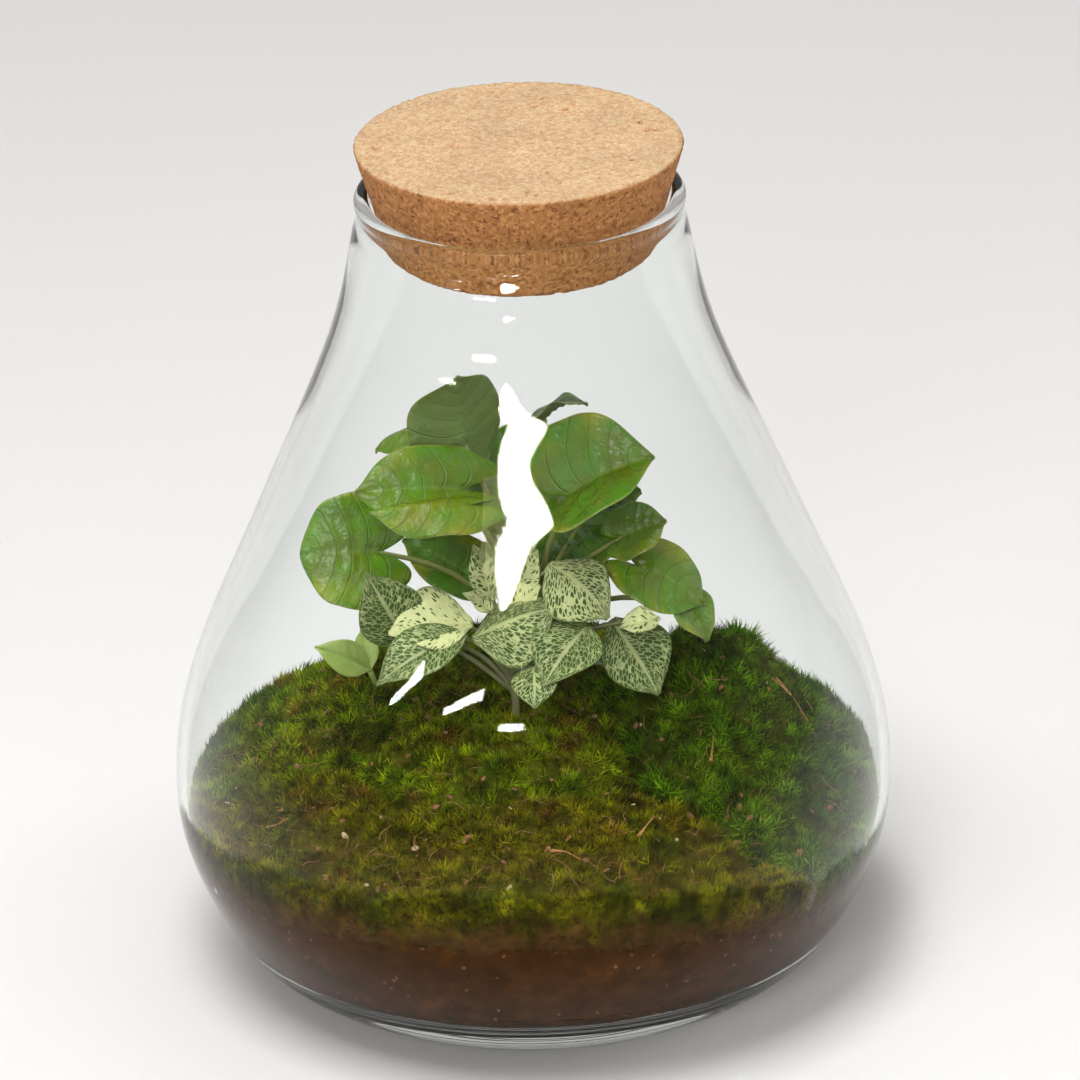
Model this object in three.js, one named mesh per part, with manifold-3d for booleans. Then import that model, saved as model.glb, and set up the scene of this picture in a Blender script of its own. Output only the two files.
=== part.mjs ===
import * as THREE from 'three';
import { mergeVertices } from 'three/addons/utils/BufferGeometryUtils.js';
import Module from 'manifold-3d';

const wasm = await Module();
wasm.setup();

// A closed terrarium: a drop-shaped glass jar with a cork stopper, filled with soil, moss cushions
// and three plants. Millimetres, +Z up, origin on the surface at the centre of the jar's foot.
// The front is at -Y.

// Jar
const TURN_SIDES = 36;
const FOOT_RADIUS = 86;
const FOOT_RING_WIDTH = 8;
const FOOT_PUSH_UP = 4;
const NECK_RADIUS = 56.9;
const WALL = 3.2;
const WALL_STEPS = 11;
const FLOOR_HEIGHT = 8;
const OUTER_WALL = [[FOOT_RADIUS, 0], [106, 14], [121, 42], [125, 70], [118, 108], [93, 168], [66.5, 232],
  [NECK_RADIUS, 272]];
const LIP_HEIGHT = 283.9;
const LIP_INNER_RADIUS = 51.1;
const LIP_OUTER_RADIUS = 56.4;

// Cork stopper
const CORK_TOP = 302;
const CORK_HEIGHT = 38.6;
const CORK_TOP_RADIUS = 56.3;
const CORK_BOTTOM_RADIUS = 45;
const CORK_CHAMFER = 0.8;

// Soil and moss
const GAP = 0.3;
const SOIL_MIDDLE = 68;
const SOIL_REACH = 118;
const SOIL_FRONT = 58;
const SOIL_BACK = 48;
const SOIL_LEFT = 43;
const SOIL_RIGHT = 32;
const SOIL_RINGS = 7;
const SOIL_SIDES = 24;
const FILL_BOTTOM = 2;
const OUTSIDE_RADIUS = 128;
const HEAPS = [
  { at: [71, 23], height: 31, spread: 30 },
  { at: [-48, 42], height: 16, spread: 25 },
];
const MOSS = [
  { name: 'moss_right', at: [76, 14], depth: 18, color: 0x3d6b14 },
  { name: 'moss_left_back', at: [-72, 34], depth: 15, color: 0x4a7419 },
  { name: 'moss_left_front', at: [-80, -56], depth: 17, color: 0x5d7a1f },
  { name: 'moss_front', at: [0, -86], depth: 17, color: 0x5a7d20 },
  { name: 'moss_middle', at: [-20, -16], depth: 16, color: 0x4f7a1b },
  { name: 'moss_back', at: [2, 86], depth: 15, color: 0x4f7a1b },
];
const MOSS_RINGS = 5;
const MOSS_SIDES = 26;
const MOSS_BUMP = 1.3;
const MOSS_BUMP_LENGTH = 17;

// Leaves: each row is base, tip, direction that the upper face looks in, width, fold, arch.
// A positive fold lifts both halves from the midrib, and a negative one drops them.
const BLADE_THICKNESS = 0.8;
const BLADE_COLUMNS = 4;
const HEART_OUTLINE = [0.56, 0.95, 1, 0.93, 0.68, 0.06];
const HEART_LOBE = 0.42;
const OVAL_OUTLINE = [0.14, 0.72, 1, 0.93, 0.58, 0.06];
const OVAL_LOBE = 0;
const BLADE_ROWS = HEART_OUTLINE.length - 1;
const STALK_SIDES = 5;
const HOLE_DEPTH = 28;

const GLOSSY_STEM = [[0, 22, 66], [0, 22, 80], [0, 22, 94], [-1, 20, 108]];
const GLOSSY_STEM_RADIUS = 2.2;
const GLOSSY_STALK_RADIUS = 1.1;
const GLOSSY_LEAVES = [
  [[-21, 14, 181], [-23, 12, 210], [-0.45, 0.85, 0.1], 38, 18, 2],
  [[-30, 24, 176], [-53, 24, 177], [0, -0.15, 1], 16, -15, 8],
  [[-29, 4, 172], [-59, -4, 175], [0.1, -0.75, 0.65], 28, 8, 3],
  [[-28, -8, 171], [-54, -12, 171], [0, -0.35, 0.9], 23, -35, 2],
  [[-51, 8, 147], [-79, 3, 149], [-0.1, -0.85, 0.5], 42, 8, 4],
  [[-24, 20, 134], [-44, 22, 144], [0.1, -0.6, 0.75], 20, 10, 2],
  [[14, -4, 170], [44, -10, 187], [0, -0.61, 0.79], 50, 28, 4],
  [[6, 26, 186], [22, 26, 192], [0, 0.3, 1], 22, 10, 3],
  [[32, 8, 150], [48, 4, 158], [0.1, -0.7, 0.7], 20, 10, 2],
  [[22, 24, 154], [40, 24, 160], [0, -0.5, 0.85], 20, 10, 2],
  [[37, 8, 140], [60, 2, 127], [0.25, -0.65, 0.7], 27, -8, 4],
  [[50, 8, 127], [61, -2, 114], [0.7, -0.6, 0.3], 20, 10, 3],
  [[13, 22, 138], [31, 24, 150], [0, -0.6, 0.8], 24, 10, 3],
  [[-5, 26, 160], [-4, 32, 184], [0, -0.7, 0.7], 28, 15, 3],
  [[-14, 38, 144], [-34, 62, 150], [-0.2, 0.5, 0.85], 30, 10, 5],
  [[13, 38, 140], [38, 60, 144], [0.2, 0.5, 0.85], 30, 10, 5],
  [[2, 42, 123], [6, 70, 115], [0, 0.3, 0.95], 28, 8, 5],
];

const NET_STEM = [[-6, 2, 66], [-6, 2, 80], [-6, 1, 94], [-11, -2, 122]];
const NET_STEM_RADIUS = 1.5;
const NET_STALK_RADIUS = 0.9;
const NET_LEAVES = [
  [[-43, -6, 118], [-56, -8, 146], [0.2, -0.9, 0.3], 24, 10, 2],
  [[-20, -8, 126], [-49, -12, 125], [0, -0.5, 0.85], 27, 15, 3],
  [[-22, -14, 125], [-53, -30, 114], [-0.1, -0.5, 0.85], 21, 10, 4],
  [[-20, -15, 124], [9, -17, 136], [0, -0.45, 0.9], 34, -25, 2],
  [[20, -14, 127], [4, -34, 114], [-0.1, -0.6, 0.8], 27, 18, 3],
  [[1, -26, 118], [1, -37, 107], [0, -0.8, 0.5], 16, 12, 1],
  [[-13, -2, 131], [-19, 3, 151], [0.3, -0.9, 0.2], 13, 20, 2],
  [[-5, -2, 131], [3, 2, 149], [-0.3, -0.9, 0.3], 13, 20, 2],
  [[-13, -4, 128], [-23, -4, 136], [0, -0.4, 0.9], 9, 20, 1],
  [[-8, -5, 128], [4, -6, 139], [-0.1, -0.7, 0.7], 14, 15, 1],
  [[7, -3, 146], [27, -13, 129], [0.35, -0.55, 0.75], 31, -15, 4],
  [[28, -3, 124], [44, -12, 99], [0.3, -0.75, 0.5], 27, 10, 2],
  [[-14, 2, 134], [-15, 1, 153], [0.2, -0.9, 0.3], 12, 15, 1],
  [[45, -7, 126], [31, -10, 124], [0, -0.5, 0.85], 11, 12, 1],
  [[-22, 4, 112], [-46, 10, 106], [-0.1, 0.3, 0.9], 20, 10, 3],
  [[8, -2, 110], [28, 0, 103], [0.1, 0, 1], 18, 10, 3],
];

const SEEDLING_STEM = [[-55, 27, 72], [-55, 27, 79], [-55, 27, 86], [-57, 26, 92]];
const SEEDLING_STEM_RADIUS = 1;
const SEEDLING_LEAVES = [
  [[-57, 26, 93], [-76, 23, 104], [-0.2, -0.7, 0.7], 13, 12, 2],
  [[-57, 26, 93], [-60, 36, 104], [0, -0.3, 0.9], 9, 12, 1],
];

// The closed solid of a geometry, with its shared vertices merged and its faces pointing out.
function solidOf(geometry) {
  const bare = geometry.clone();
  bare.deleteAttribute('normal');
  bare.deleteAttribute('uv');
  const merged = mergeVertices(bare, 1e-4);
  const corners = [];
  const index = merged.index.array;
  for (let i = 0; i < index.length; i += 3) {
    const [a, b, c] = [index[i], index[i + 1], index[i + 2]];
    if (a !== b && b !== c && c !== a) {
      corners.push(a, b, c);
    }
  }
  const vertProperties = new Float32Array(merged.attributes.position.array);
  const build = (triVerts) => new wasm.Manifold(new wasm.Mesh({ numProp: 3, vertProperties, triVerts }));
  const solid = build(new Uint32Array(corners));
  return solid.volume() > 0 ? solid : build(new Uint32Array(corners.reverse()));
}

function meshOf(name, solid, material) {
  const { vertProperties, triVerts } = solid.getMesh();
  const geometry = new THREE.BufferGeometry();
  geometry.setAttribute('position', new THREE.BufferAttribute(vertProperties, 3));
  geometry.setIndex(new THREE.BufferAttribute(triVerts, 1));
  geometry.computeVertexNormals();
  const mesh = new THREE.Mesh(geometry, new THREE.MeshStandardMaterial(material));
  mesh.name = name;
  return mesh;
}

function joined(solids) {
  return solids.reduce((whole, piece) => whole.add(piece));
}

// A solid of revolution about Z from [radius, height] points that start and end on the axis.
function turned(points) {
  const line = points.map(([radius, height]) => new THREE.Vector2(radius, height));
  return solidOf(new THREE.LatheGeometry(line, TURN_SIDES).rotateX(Math.PI / 2));
}

// A round bar along a smooth line.
function bar(points, radius) {
  const line = new THREE.CatmullRomCurve3(points.map((point) => new THREE.Vector3(...point)));
  const section = new THREE.Shape();
  for (let side = 0; side < STALK_SIDES; side += 1) {
    const angle = (2 * Math.PI * side) / STALK_SIDES;
    section[side ? 'lineTo' : 'moveTo'](radius * Math.cos(angle), radius * Math.sin(angle));
  }
  return solidOf(new THREE.ExtrudeGeometry(section, { steps: 2 * points.length - 2, extrudePath: line }));
}

// The glass jar

const wallLine = new THREE.SplineCurve(OUTER_WALL.map(([radius, height]) => new THREE.Vector2(radius, height)));

function wallPoints(inset, lowest) {
  const points = [];
  for (let step = 0; step <= WALL_STEPS; step += 1) {
    const place = wallLine.getPoint(step / WALL_STEPS);
    const along = wallLine.getTangent(step / WALL_STEPS);
    const height = place.y + along.x * inset;
    if (height > lowest) {
      points.push([place.x - along.y * inset, height]);
    }
  }
  return points;
}

// The inside of the jar, from the middle of its floor up to the neck, drawn in by a clearance.
function insideLine(clearance) {
  const floor = FLOOR_HEIGHT + clearance;
  return [[0, floor + 0.8], [70, floor], [88 - clearance, floor + 2.4],
    ...wallPoints(WALL + clearance, 2 * FLOOR_HEIGHT)];
}

function glassJar() {
  const ringInner = FOOT_RADIUS - FOOT_RING_WIDTH;
  const lip = [[LIP_OUTER_RADIUS - 1, 277], [LIP_OUTER_RADIUS, 280], [LIP_OUTER_RADIUS - 0.3, LIP_HEIGHT - 1.2],
    [LIP_OUTER_RADIUS - 1.7, LIP_HEIGHT], [LIP_INNER_RADIUS + 1, LIP_HEIGHT],
    [LIP_INNER_RADIUS, LIP_HEIGHT - 0.9], [LIP_INNER_RADIUS + 0.4, 280]];
  return turned([[0, FOOT_PUSH_UP], [ringInner - 14, FOOT_PUSH_UP - 1], [ringInner, 0], ...wallPoints(0, -1),
    ...lip, ...insideLine(0).reverse()]);
}

// The cork stopper, which rests in the neck with its upper half standing out of it

function corkStopper() {
  const bottom = CORK_TOP - CORK_HEIGHT;
  return turned([[0, bottom], [CORK_BOTTOM_RADIUS - CORK_CHAMFER, bottom],
    [CORK_BOTTOM_RADIUS + 0.2, bottom + CORK_CHAMFER], [CORK_TOP_RADIUS - 0.2, CORK_TOP - CORK_CHAMFER],
    [CORK_TOP_RADIUS - CORK_CHAMFER, CORK_TOP], [0, CORK_TOP]]);
}

// Soil and moss

// The soil's height where it meets the glass blends between its four sides.
function soilHeight(x, y) {
  const reach = Math.hypot(x, y);
  const share = reach > 0 ? 1 / reach : 0;
  const sideways = x > 0 ? SOIL_RIGHT : SOIL_LEFT;
  const lengthways = y > 0 ? SOIL_BACK : SOIL_FRONT;
  const edge = sideways * (x * share) ** 2 + lengthways * (y * share) ** 2;
  const inward = 1 - Math.min(1, reach / SOIL_REACH) ** 2;
  let height = edge + (SOIL_MIDDLE - edge) * inward;
  for (const heap of HEAPS) {
    const away = Math.hypot(x - heap.at[0], y - heap.at[1]);
    height += heap.height * Math.exp(-(away ** 2) / (2 * heap.spread ** 2));
  }
  return height;
}

// Hills and hollows of the moss, a few centimetres apart.
function mossBump(x, y) {
  const scale = (2 * Math.PI) / MOSS_BUMP_LENGTH;
  return MOSS_BUMP * (Math.sin(scale * x + Math.cos(scale * y * 0.7)) * Math.cos(scale * y * 0.9 + 1)
    + 0.6 * Math.sin(scale * 1.9 * x - scale * 1.3 * y));
}

// A closed heap about a centre: rings of points out to an edge, a wall down from the last ring and a flat bottom.
function heap([centreX, centreY], rings, sides, edgeAt, heightAt) {
  const places = [];
  for (let ring = 0; ring <= rings; ring += 1) {
    for (let side = 0; side < sides; side += 1) {
      const angle = (2 * Math.PI * side) / sides;
      const away = (edgeAt(angle) * ring) / rings;
      const [x, y] = [centreX + away * Math.cos(angle), centreY + away * Math.sin(angle)];
      places.push(x, y, heightAt(x, y, ring / rings));
    }
  }
  for (let side = 0; side < sides; side += 1) {
    const outer = 3 * (rings * sides + side);
    places.push(places[outer], places[outer + 1], FILL_BOTTOM);
  }
  const bottomCentre = places.length / 3;
  places.push(centreX, centreY, FILL_BOTTOM);
  const corners = [];
  for (let side = 0; side < sides; side += 1) {
    const next = (side + 1) % sides;
    for (let ring = 0; ring <= rings; ring += 1) {
      const [near, far] = [ring * sides, (ring + 1) * sides];
      corners.push(near + side, far + side, far + next, near + side, far + next, near + next);
    }
    corners.push((rings + 1) * sides + side, bottomCentre, (rings + 1) * sides + next);
  }
  const geometry = new THREE.BufferGeometry();
  geometry.setAttribute('position', new THREE.Float32BufferAttribute(places, 3));
  geometry.setIndex(corners);
  return solidOf(geometry);
}

function soilHeap(raise) {
  return heap([0, 0], SOIL_RINGS, SOIL_SIDES, () => OUTSIDE_RADIUS, (x, y) => soilHeight(x, y) + raise);
}

// How far a cushion reaches from its centre: half way to each neighbour, or past the glass.
function mossEdge(cushion) {
  const [x, y] = cushion.at;
  return (angle) => {
    const [alongX, alongY] = [Math.cos(angle), Math.sin(angle)];
    const outward = x * alongX + y * alongY;
    let edge = -outward + Math.sqrt(outward ** 2 + OUTSIDE_RADIUS ** 2 - x ** 2 - y ** 2);
    for (const other of MOSS) {
      const [towardsX, towardsY] = [other.at[0] - x, other.at[1] - y];
      const apart = Math.hypot(towardsX, towardsY);
      const facing = apart && (towardsX * alongX + towardsY * alongY) / apart;
      if (facing > 0) {
        edge = Math.min(edge, (apart / 2 - GAP / 2) / facing);
      }
    }
    return edge;
  };
}

function mossCushion(cushion, inside, soilBelow) {
  const edgeAt = mossEdge(cushion);
  const heightAt = (x, y, share) => soilHeight(x, y) + mossBump(x, y)
    + cushion.depth * (1 - 0.45 * share ** 5);
  const whole = heap(cushion.at, MOSS_RINGS, MOSS_SIDES, edgeAt, heightAt);
  return whole.intersect(inside).subtract(soilBelow).subtract(stemHoles);
}

// Leaves and plants

// A thin leaf along its midrib, folded along it and arched. Both faces are split into triangles alike.
function blade([base, tip, face, width, fold, arch], outline, lobe) {
  const start = new THREE.Vector3(...base);
  const along = new THREE.Vector3(...tip).sub(start);
  const length = along.length();
  along.normalize();
  const up = new THREE.Vector3(...face);
  up.addScaledVector(along, -up.dot(along)).normalize();
  const side = new THREE.Vector3().crossVectors(along, up);
  const lift = THREE.MathUtils.degToRad(fold);

  const pointAt = (share, across) => {
    const row = Math.min(share * BLADE_ROWS, BLADE_ROWS - 1e-6);
    const before = Math.floor(row);
    const half = THREE.MathUtils.lerp(outline[before], outline[before + 1], row - before) * (width / 2) * across;
    const back = lobe * across ** 2 * (1 - share) ** 2;
    return start.clone()
      .addScaledVector(along, length * (share - back))
      .addScaledVector(side, half * Math.cos(lift))
      .addScaledVector(up, Math.abs(half) * Math.sin(lift) + 4 * arch * share * (1 - share));
  };
  const normalAt = (share, across) => {
    const step = 1e-3;
    const forward = pointAt(Math.min(1, share + step), across).sub(pointAt(Math.max(0, share - step), across));
    const outward = pointAt(share, across + step).sub(pointAt(share, across - step));
    return outward.cross(forward).normalize();
  };

  const places = [];
  for (const depth of [0, BLADE_THICKNESS]) {
    for (let row = 0; row <= BLADE_ROWS; row += 1) {
      for (let column = 0; column <= BLADE_COLUMNS; column += 1) {
        const across = (2 * column) / BLADE_COLUMNS - 1;
        const share = row / BLADE_ROWS;
        places.push(...pointAt(share, across).addScaledVector(normalAt(share, across), -depth));
      }
    }
  }
  const line = BLADE_COLUMNS + 1;
  const under = line * (BLADE_ROWS + 1);
  const corners = [];
  const quad = (a, b, c, d) => corners.push(a, b, c, a, c, d);
  for (let row = 0; row < BLADE_ROWS; row += 1) {
    for (let column = 0; column < BLADE_COLUMNS; column += 1) {
      const at = row * line + column;
      quad(at, at + 1, at + line + 1, at + line);
      corners.push(under + at, under + at + line + 1, under + at + 1);
      corners.push(under + at, under + at + line, under + at + line + 1);
    }
    const [left, right] = [row * line, row * line + BLADE_COLUMNS];
    quad(left, left + line, under + left + line, under + left);
    quad(right + line, right, under + right, under + right + line);
  }
  for (let column = 0; column < BLADE_COLUMNS; column += 1) {
    const last = BLADE_ROWS * line + column;
    quad(column + 1, column, under + column, under + column + 1);
    quad(last, last + 1, under + last + 1, under + last);
  }
  const geometry = new THREE.BufferGeometry();
  geometry.setAttribute('position', new THREE.Float32BufferAttribute(places, 3));
  geometry.setIndex(corners);
  return solidOf(geometry);
}

// A leaf stalk leaves the stem's upper part, bends up and ends a little way along the midrib.
function stalk([base, tip], stem, radius) {
  const line = new THREE.CatmullRomCurve3(stem.map((point) => new THREE.Vector3(...point)));
  const height = THREE.MathUtils.clamp((base[2] - stem[3][2]) / 60, 0, 0.3);
  const root = line.getPoint(0.68 + height);
  const end = new THREE.Vector3(...base).lerp(new THREE.Vector3(...tip), 0.08);
  const bend = root.clone().lerp(end, 0.5);
  bend.z += 0.12 * root.distanceTo(end);
  return bar([root, bend, end].map((point) => point.toArray()), radius);
}

function plant(stem, stemRadius, leaves, stalkRadius, outline, lobe) {
  const blades = leaves.map((leaf) => blade(leaf, outline, lobe));
  const stalks = leaves.map((leaf) => stalk(leaf, stem, stalkRadius));
  return joined([bar(stem, stemRadius), ...stalks, ...blades]);
}

// The straight hole that a stem stands in, wider than the stem and a little deeper.
function stemHole(stem, radius) {
  const [x, y, bottom] = stem[0];
  return bar([[x, y, bottom - GAP], [x, y, bottom + HOLE_DEPTH]], radius + 4 * GAP);
}

const inside = turned([...insideLine(GAP), [0, LIP_HEIGHT - 30]]);
const soilRaised = soilHeap(GAP);
const stemHoles = joined([
  stemHole(GLOSSY_STEM, GLOSSY_STEM_RADIUS),
  stemHole(NET_STEM, NET_STEM_RADIUS),
  stemHole(SEEDLING_STEM, SEEDLING_STEM_RADIUS),
]);

const terrarium = new THREE.Group();
terrarium.add(
  meshOf('glass_jar', glassJar(), { color: 0xe6efec, roughness: 0.03, metalness: 0, transparent: true, opacity: 0.35 }),
  meshOf('cork_stopper', corkStopper(), { color: 0xb98553, roughness: 0.85, metalness: 0 }),
  meshOf('soil', inside.intersect(soilHeap(0)).subtract(stemHoles), { color: 0x2e1c12, roughness: 0.95, metalness: 0 }),
);
for (const cushion of MOSS) {
  const solid = mossCushion(cushion, inside, soilRaised);
  terrarium.add(meshOf(cushion.name, solid, { color: cushion.color, roughness: 0.9, metalness: 0 }));
}
terrarium.add(
  meshOf(
    'glossy_leaf_plant',
    plant(GLOSSY_STEM, GLOSSY_STEM_RADIUS, GLOSSY_LEAVES, GLOSSY_STALK_RADIUS, HEART_OUTLINE, HEART_LOBE),
    { color: 0x3c7a22, roughness: 0.35, metalness: 0 },
  ),
  meshOf(
    'net_leaf_plant',
    plant(NET_STEM, NET_STEM_RADIUS, NET_LEAVES, NET_STALK_RADIUS, OVAL_OUTLINE, OVAL_LOBE),
    { color: 0xb7c98a, roughness: 0.6, metalness: 0 },
  ),
  meshOf(
    'seedling',
    plant(SEEDLING_STEM, SEEDLING_STEM_RADIUS, SEEDLING_LEAVES, SEEDLING_STEM_RADIUS, OVAL_OUTLINE, OVAL_LOBE),
    { color: 0x86a83a, roughness: 0.6, metalness: 0 },
  ),
);

export default terrarium;
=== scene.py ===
import math

import bmesh
import bpy
import numpy as np
from mathutils import Matrix, Vector, noise
from mathutils.bvhtree import BVHTree


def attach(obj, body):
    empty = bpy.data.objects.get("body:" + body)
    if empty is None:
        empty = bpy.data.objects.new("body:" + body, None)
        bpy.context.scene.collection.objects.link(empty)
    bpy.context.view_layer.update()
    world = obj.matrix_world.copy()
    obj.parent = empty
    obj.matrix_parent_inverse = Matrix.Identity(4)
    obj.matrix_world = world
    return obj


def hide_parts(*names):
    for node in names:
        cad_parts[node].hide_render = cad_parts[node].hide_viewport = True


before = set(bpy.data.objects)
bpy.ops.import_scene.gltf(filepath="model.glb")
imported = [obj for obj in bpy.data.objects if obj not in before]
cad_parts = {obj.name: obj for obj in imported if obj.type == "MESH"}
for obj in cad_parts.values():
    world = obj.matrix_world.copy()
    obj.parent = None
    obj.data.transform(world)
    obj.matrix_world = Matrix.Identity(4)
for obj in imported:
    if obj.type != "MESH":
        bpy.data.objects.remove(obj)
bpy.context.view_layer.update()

# A closed terrarium: a drop-shaped glass jar with a cork stopper, soil, moss cushions and three plants.
# Sizes are in millimetres and become metres where a mesh is made. The front is at -Y.
MM = 0.001
BODY = "root"
SEED = 7

# Jar
FOOT_RADIUS = 86
FOOT_RING_WIDTH = 8
FOOT_PUSH_UP = 4
NECK_RADIUS = 56.9
WALL = 3.2
NECK_THINNING = 1.6
NECK_THINNING_FROM = 205
NECK_THINNING_OVER = 50
OUTER_WALL = [(FOOT_RADIUS, 0), (106, 14), (121, 42), (125, 70), (118, 108), (93, 168), (66.5, 232),
              (NECK_RADIUS, 272)]
FOOT_EDGE_HEIGHT = 2.6
FOOT_FLARE = 0.4
FOOT_FLARE_HEIGHT = 3
# The upper side of the thick clear base, as radius and height, and the ends of the inner wall above it
FLOOR_HEIGHT = 14
JAR_FLOOR = [(104, 21.6), (99, 18.4), (92, 16), (80, FLOOR_HEIGHT + 0.5), (70, FLOOR_HEIGHT),
             (40, FLOOR_HEIGHT + 0.4), (0, FLOOR_HEIGHT + 0.8)]
INNER_WALL_START = FLOOR_HEIGHT + 10
INNER_WALL_END = 271
LIP_HEIGHT = 283.9
LIP_INNER_RADIUS = 51.1
LIP_OUTER_RADIUS = 56.4
LIP_BEAD = 1.9
LIP_BEAD_STEPS = 17
JAR_SIDES = 160
WALL_STEPS = 60
# The slow waves of the blown wall: their depth, their length and the heights that they lie between
GLASS_WAVE = 0.2
GLASS_WAVE_LENGTH = 75
GLASS_WAVE_FROM = 20
GLASS_WAVE_TO = 270

# Cork
CORK_TOP = 302
CORK_HEIGHT = 38.6
CORK_TOP_RADIUS = 56.3
CORK_BOTTOM_RADIUS = 45
CORK_SIDES = 220
CORK_SIDE_RINGS = 26
CORK_TOP_RINGS = 34
CORK_UNDER_RINGS = 14
CORK_GRAIN = 2.4
CORK_SEAM = 0.12
CORK_SEAM_DEPTH = 0.22
CORK_PIT_DEPTH = 0.7
# How far the side lies inside the full taper, which leaves room for its roughness
CORK_SIDE_INSET = 0.15
CORK_ROUGH_MOST = 0.08

# Soil: its height at the middle and at the front, back, left and right wall, and two heaps, each with
# its place, height and spread. Near the wall it climbs the glass, and below it lies on the jar's floor.
SOIL_MIDDLE = 68
SOIL_REACH = 118
SOIL_FRONT = 58
SOIL_BACK = 48
SOIL_LEFT = 43
SOIL_RIGHT = 32
SOIL_HEAPS = [((71, 23), 31, 30), ((-48, 42), 16, 25)]
SOIL_VOXEL = 1.8
SOIL_CLIMB = 7
SOIL_CLIMB_REACH = 5
SOIL_FLOOR_EDGE = (109, 26)
SOIL_FLOOR_GAP = 0.3

# Moss: shoots to a square millimetre, their height, the size and height of the clumps, how high the
# brown roots show on the glass, and the kind
MOSS_NODES = {
    "moss_right": {"lush": 0.4, "height": 6.2, "clump": 15, "dome": 2.4, "rooty": 13, "kind": "deep_green"},
    "moss_left_back": {"lush": 0.4, "height": 5.4, "clump": 12, "dome": 3.2, "rooty": 10, "kind": "leafy"},
    "moss_left_front": {"lush": 0.4, "height": 4.8, "clump": 12, "dome": 2.8, "rooty": 9, "kind": "olive"},
    "moss_front": {"lush": 0.4, "height": 4.8, "clump": 12, "dome": 3.0, "rooty": 8, "kind": "olive"},
    "moss_middle": {"lush": 0.4, "height": 5.2, "clump": 12, "dome": 3.4, "rooty": 9, "kind": "leafy"},
    "moss_back": {"lush": 0.26, "height": 4.8, "clump": 12, "dome": 2.4, "rooty": 9, "kind": "leafy"},
}
# Colours of each kind of moss: at the root (near black, painted shade), of the green tips, of the sunlit tips
# (painted light) and of dry shoots
MOSS_KINDS = {
    "deep_green": ((0.005, 0.012, 0.0005), (0.022, 0.09, 0.0005), (0.1, 0.2, 0.001), (0.12, 0.12, 0.006)),
    "leafy": ((0.01, 0.012, 0.0005), (0.05, 0.12, 0.0005), (0.2, 0.25, 0.002), (0.26, 0.09, 0.012)),
    "olive": ((0.012, 0.01, 0.0005), (0.06, 0.085, 0.0005), (0.17, 0.15, 0.002), (0.2, 0.07, 0.011)),
}
MOSS_SLOTS = {"deep_green": "dark_moss", "leafy": "moss", "olive": "moss"}
MOSS_VOXEL = 1.8
MOSS_SPREAD = 0.55
SHOOT_LEAVES = 6
SHOOT_LEAF_RADIUS = 0.062
MOSS_SINK = 1.2
# How near to the glass the shoots stop leaning towards it
WALL_REACH = 6.0
# Two waves of the ragged lower edge on the glass: height, length and seed
RAGGED_EDGE = [(3.2, 18, 3), (2.4, 6, 4)]

# Damp soil and moss lie wet on the glass, so there is no air between them and the wall. A place this
# near to the wall is laid just into it, and one on a side face also from further away.
WET_REACH = 1.2
WET_SIDE_REACH = 4.6
WET_DEPTH = 0.12
WET_MOSS_DEPTH = 0.4
WET_FROM = 22
WET_WALL_TOP = 160
WET_LINE_POINTS = 700
WET_FACING = 0.45
# How far moss climbs the glass, and how near to it
MOSS_CLIMB = 6
MOSS_CLIMB_REACH = 15
# How far the sides of neighbouring cushions press together along the glass, and how near to it
MOSS_PRESS = 3.5
MOSS_PRESS_REACH = 13

# Litter on the moss. Needles: middle, length and turn. Bits: item, pieces to a square millimetre, size,
# dark and light colour, and seed.
NEEDLES = [
    ((92, 8), 22, -52), ((38, -70), 12, 62), ((-88, -48), 9, 30), ((10, -92), 11, -20),
    ((20, 72), 18, 15), ((-40, 66), 16, -40), ((62, -24), 9, 80),
]
NEEDLE_RADIUS = 0.36
NEEDLE_TIP_RADIUS = 0.2
NEEDLE_FAN = 0.06
NEEDLE_LIFT = 2.4
LITTER = {
    "bark_bits": ("flake", 0.003, 2.0, (0.07, 0.025, 0.008), (0.24, 0.09, 0.03), 21),
    "pale_bits": ("flake", 0.0007, 1.8, (0.2, 0.13, 0.06), (0.42, 0.3, 0.17), 33),
    "brown_fibres": ("fibre", 0.01, 7, (0.09, 0.035, 0.01), (0.3, 0.13, 0.04), 47),
}
LITTER_SPREAD = 0.5
LITTER_LIFT = 2.0
LITTER_FLATNESS = 0.6
LITTER_GLASS_GAP = 7
FIBRE_LINE = [(-0.5, 0, 0.05), (-0.15, 0.07, 0.12), (0.2, 0.02, 0.1), (0.5, -0.09, 0.16)]
FIBRE_RADIUS = 0.026
FIBRE_END_RADIUS = 0.014

# Leaf shapes: share of the half width from base to tip, how far the lobes reach back, and the height of
# the pillows between the veins and of the ruffled edge
HEART = {"outline": [0.56, 0.95, 1, 0.93, 0.68, 0.06], "lobe": 0.42, "quilt": 0.5, "ruffle": 1.0}
OVAL = {"outline": [0.14, 0.72, 1, 0.93, 0.58, 0.06], "lobe": 0, "quilt": 0.3, "ruffle": 0.6}
SMALL_OVAL = {**OVAL, "quilt": 0.2, "ruffle": 0.3}
# A leaf that is broader for its length than this has a blunter tip.
BROAD_LEAF = 1.25
BLUNT_MOST = 0.25
OUTLINE_STEPS = 50
STEM_STEPS = 60
LEAF_THICKNESS = 0.6
LEAF_ROWS = 36
LEAF_COLUMNS = 20
LEAF_GROOVE = 0.5
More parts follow.
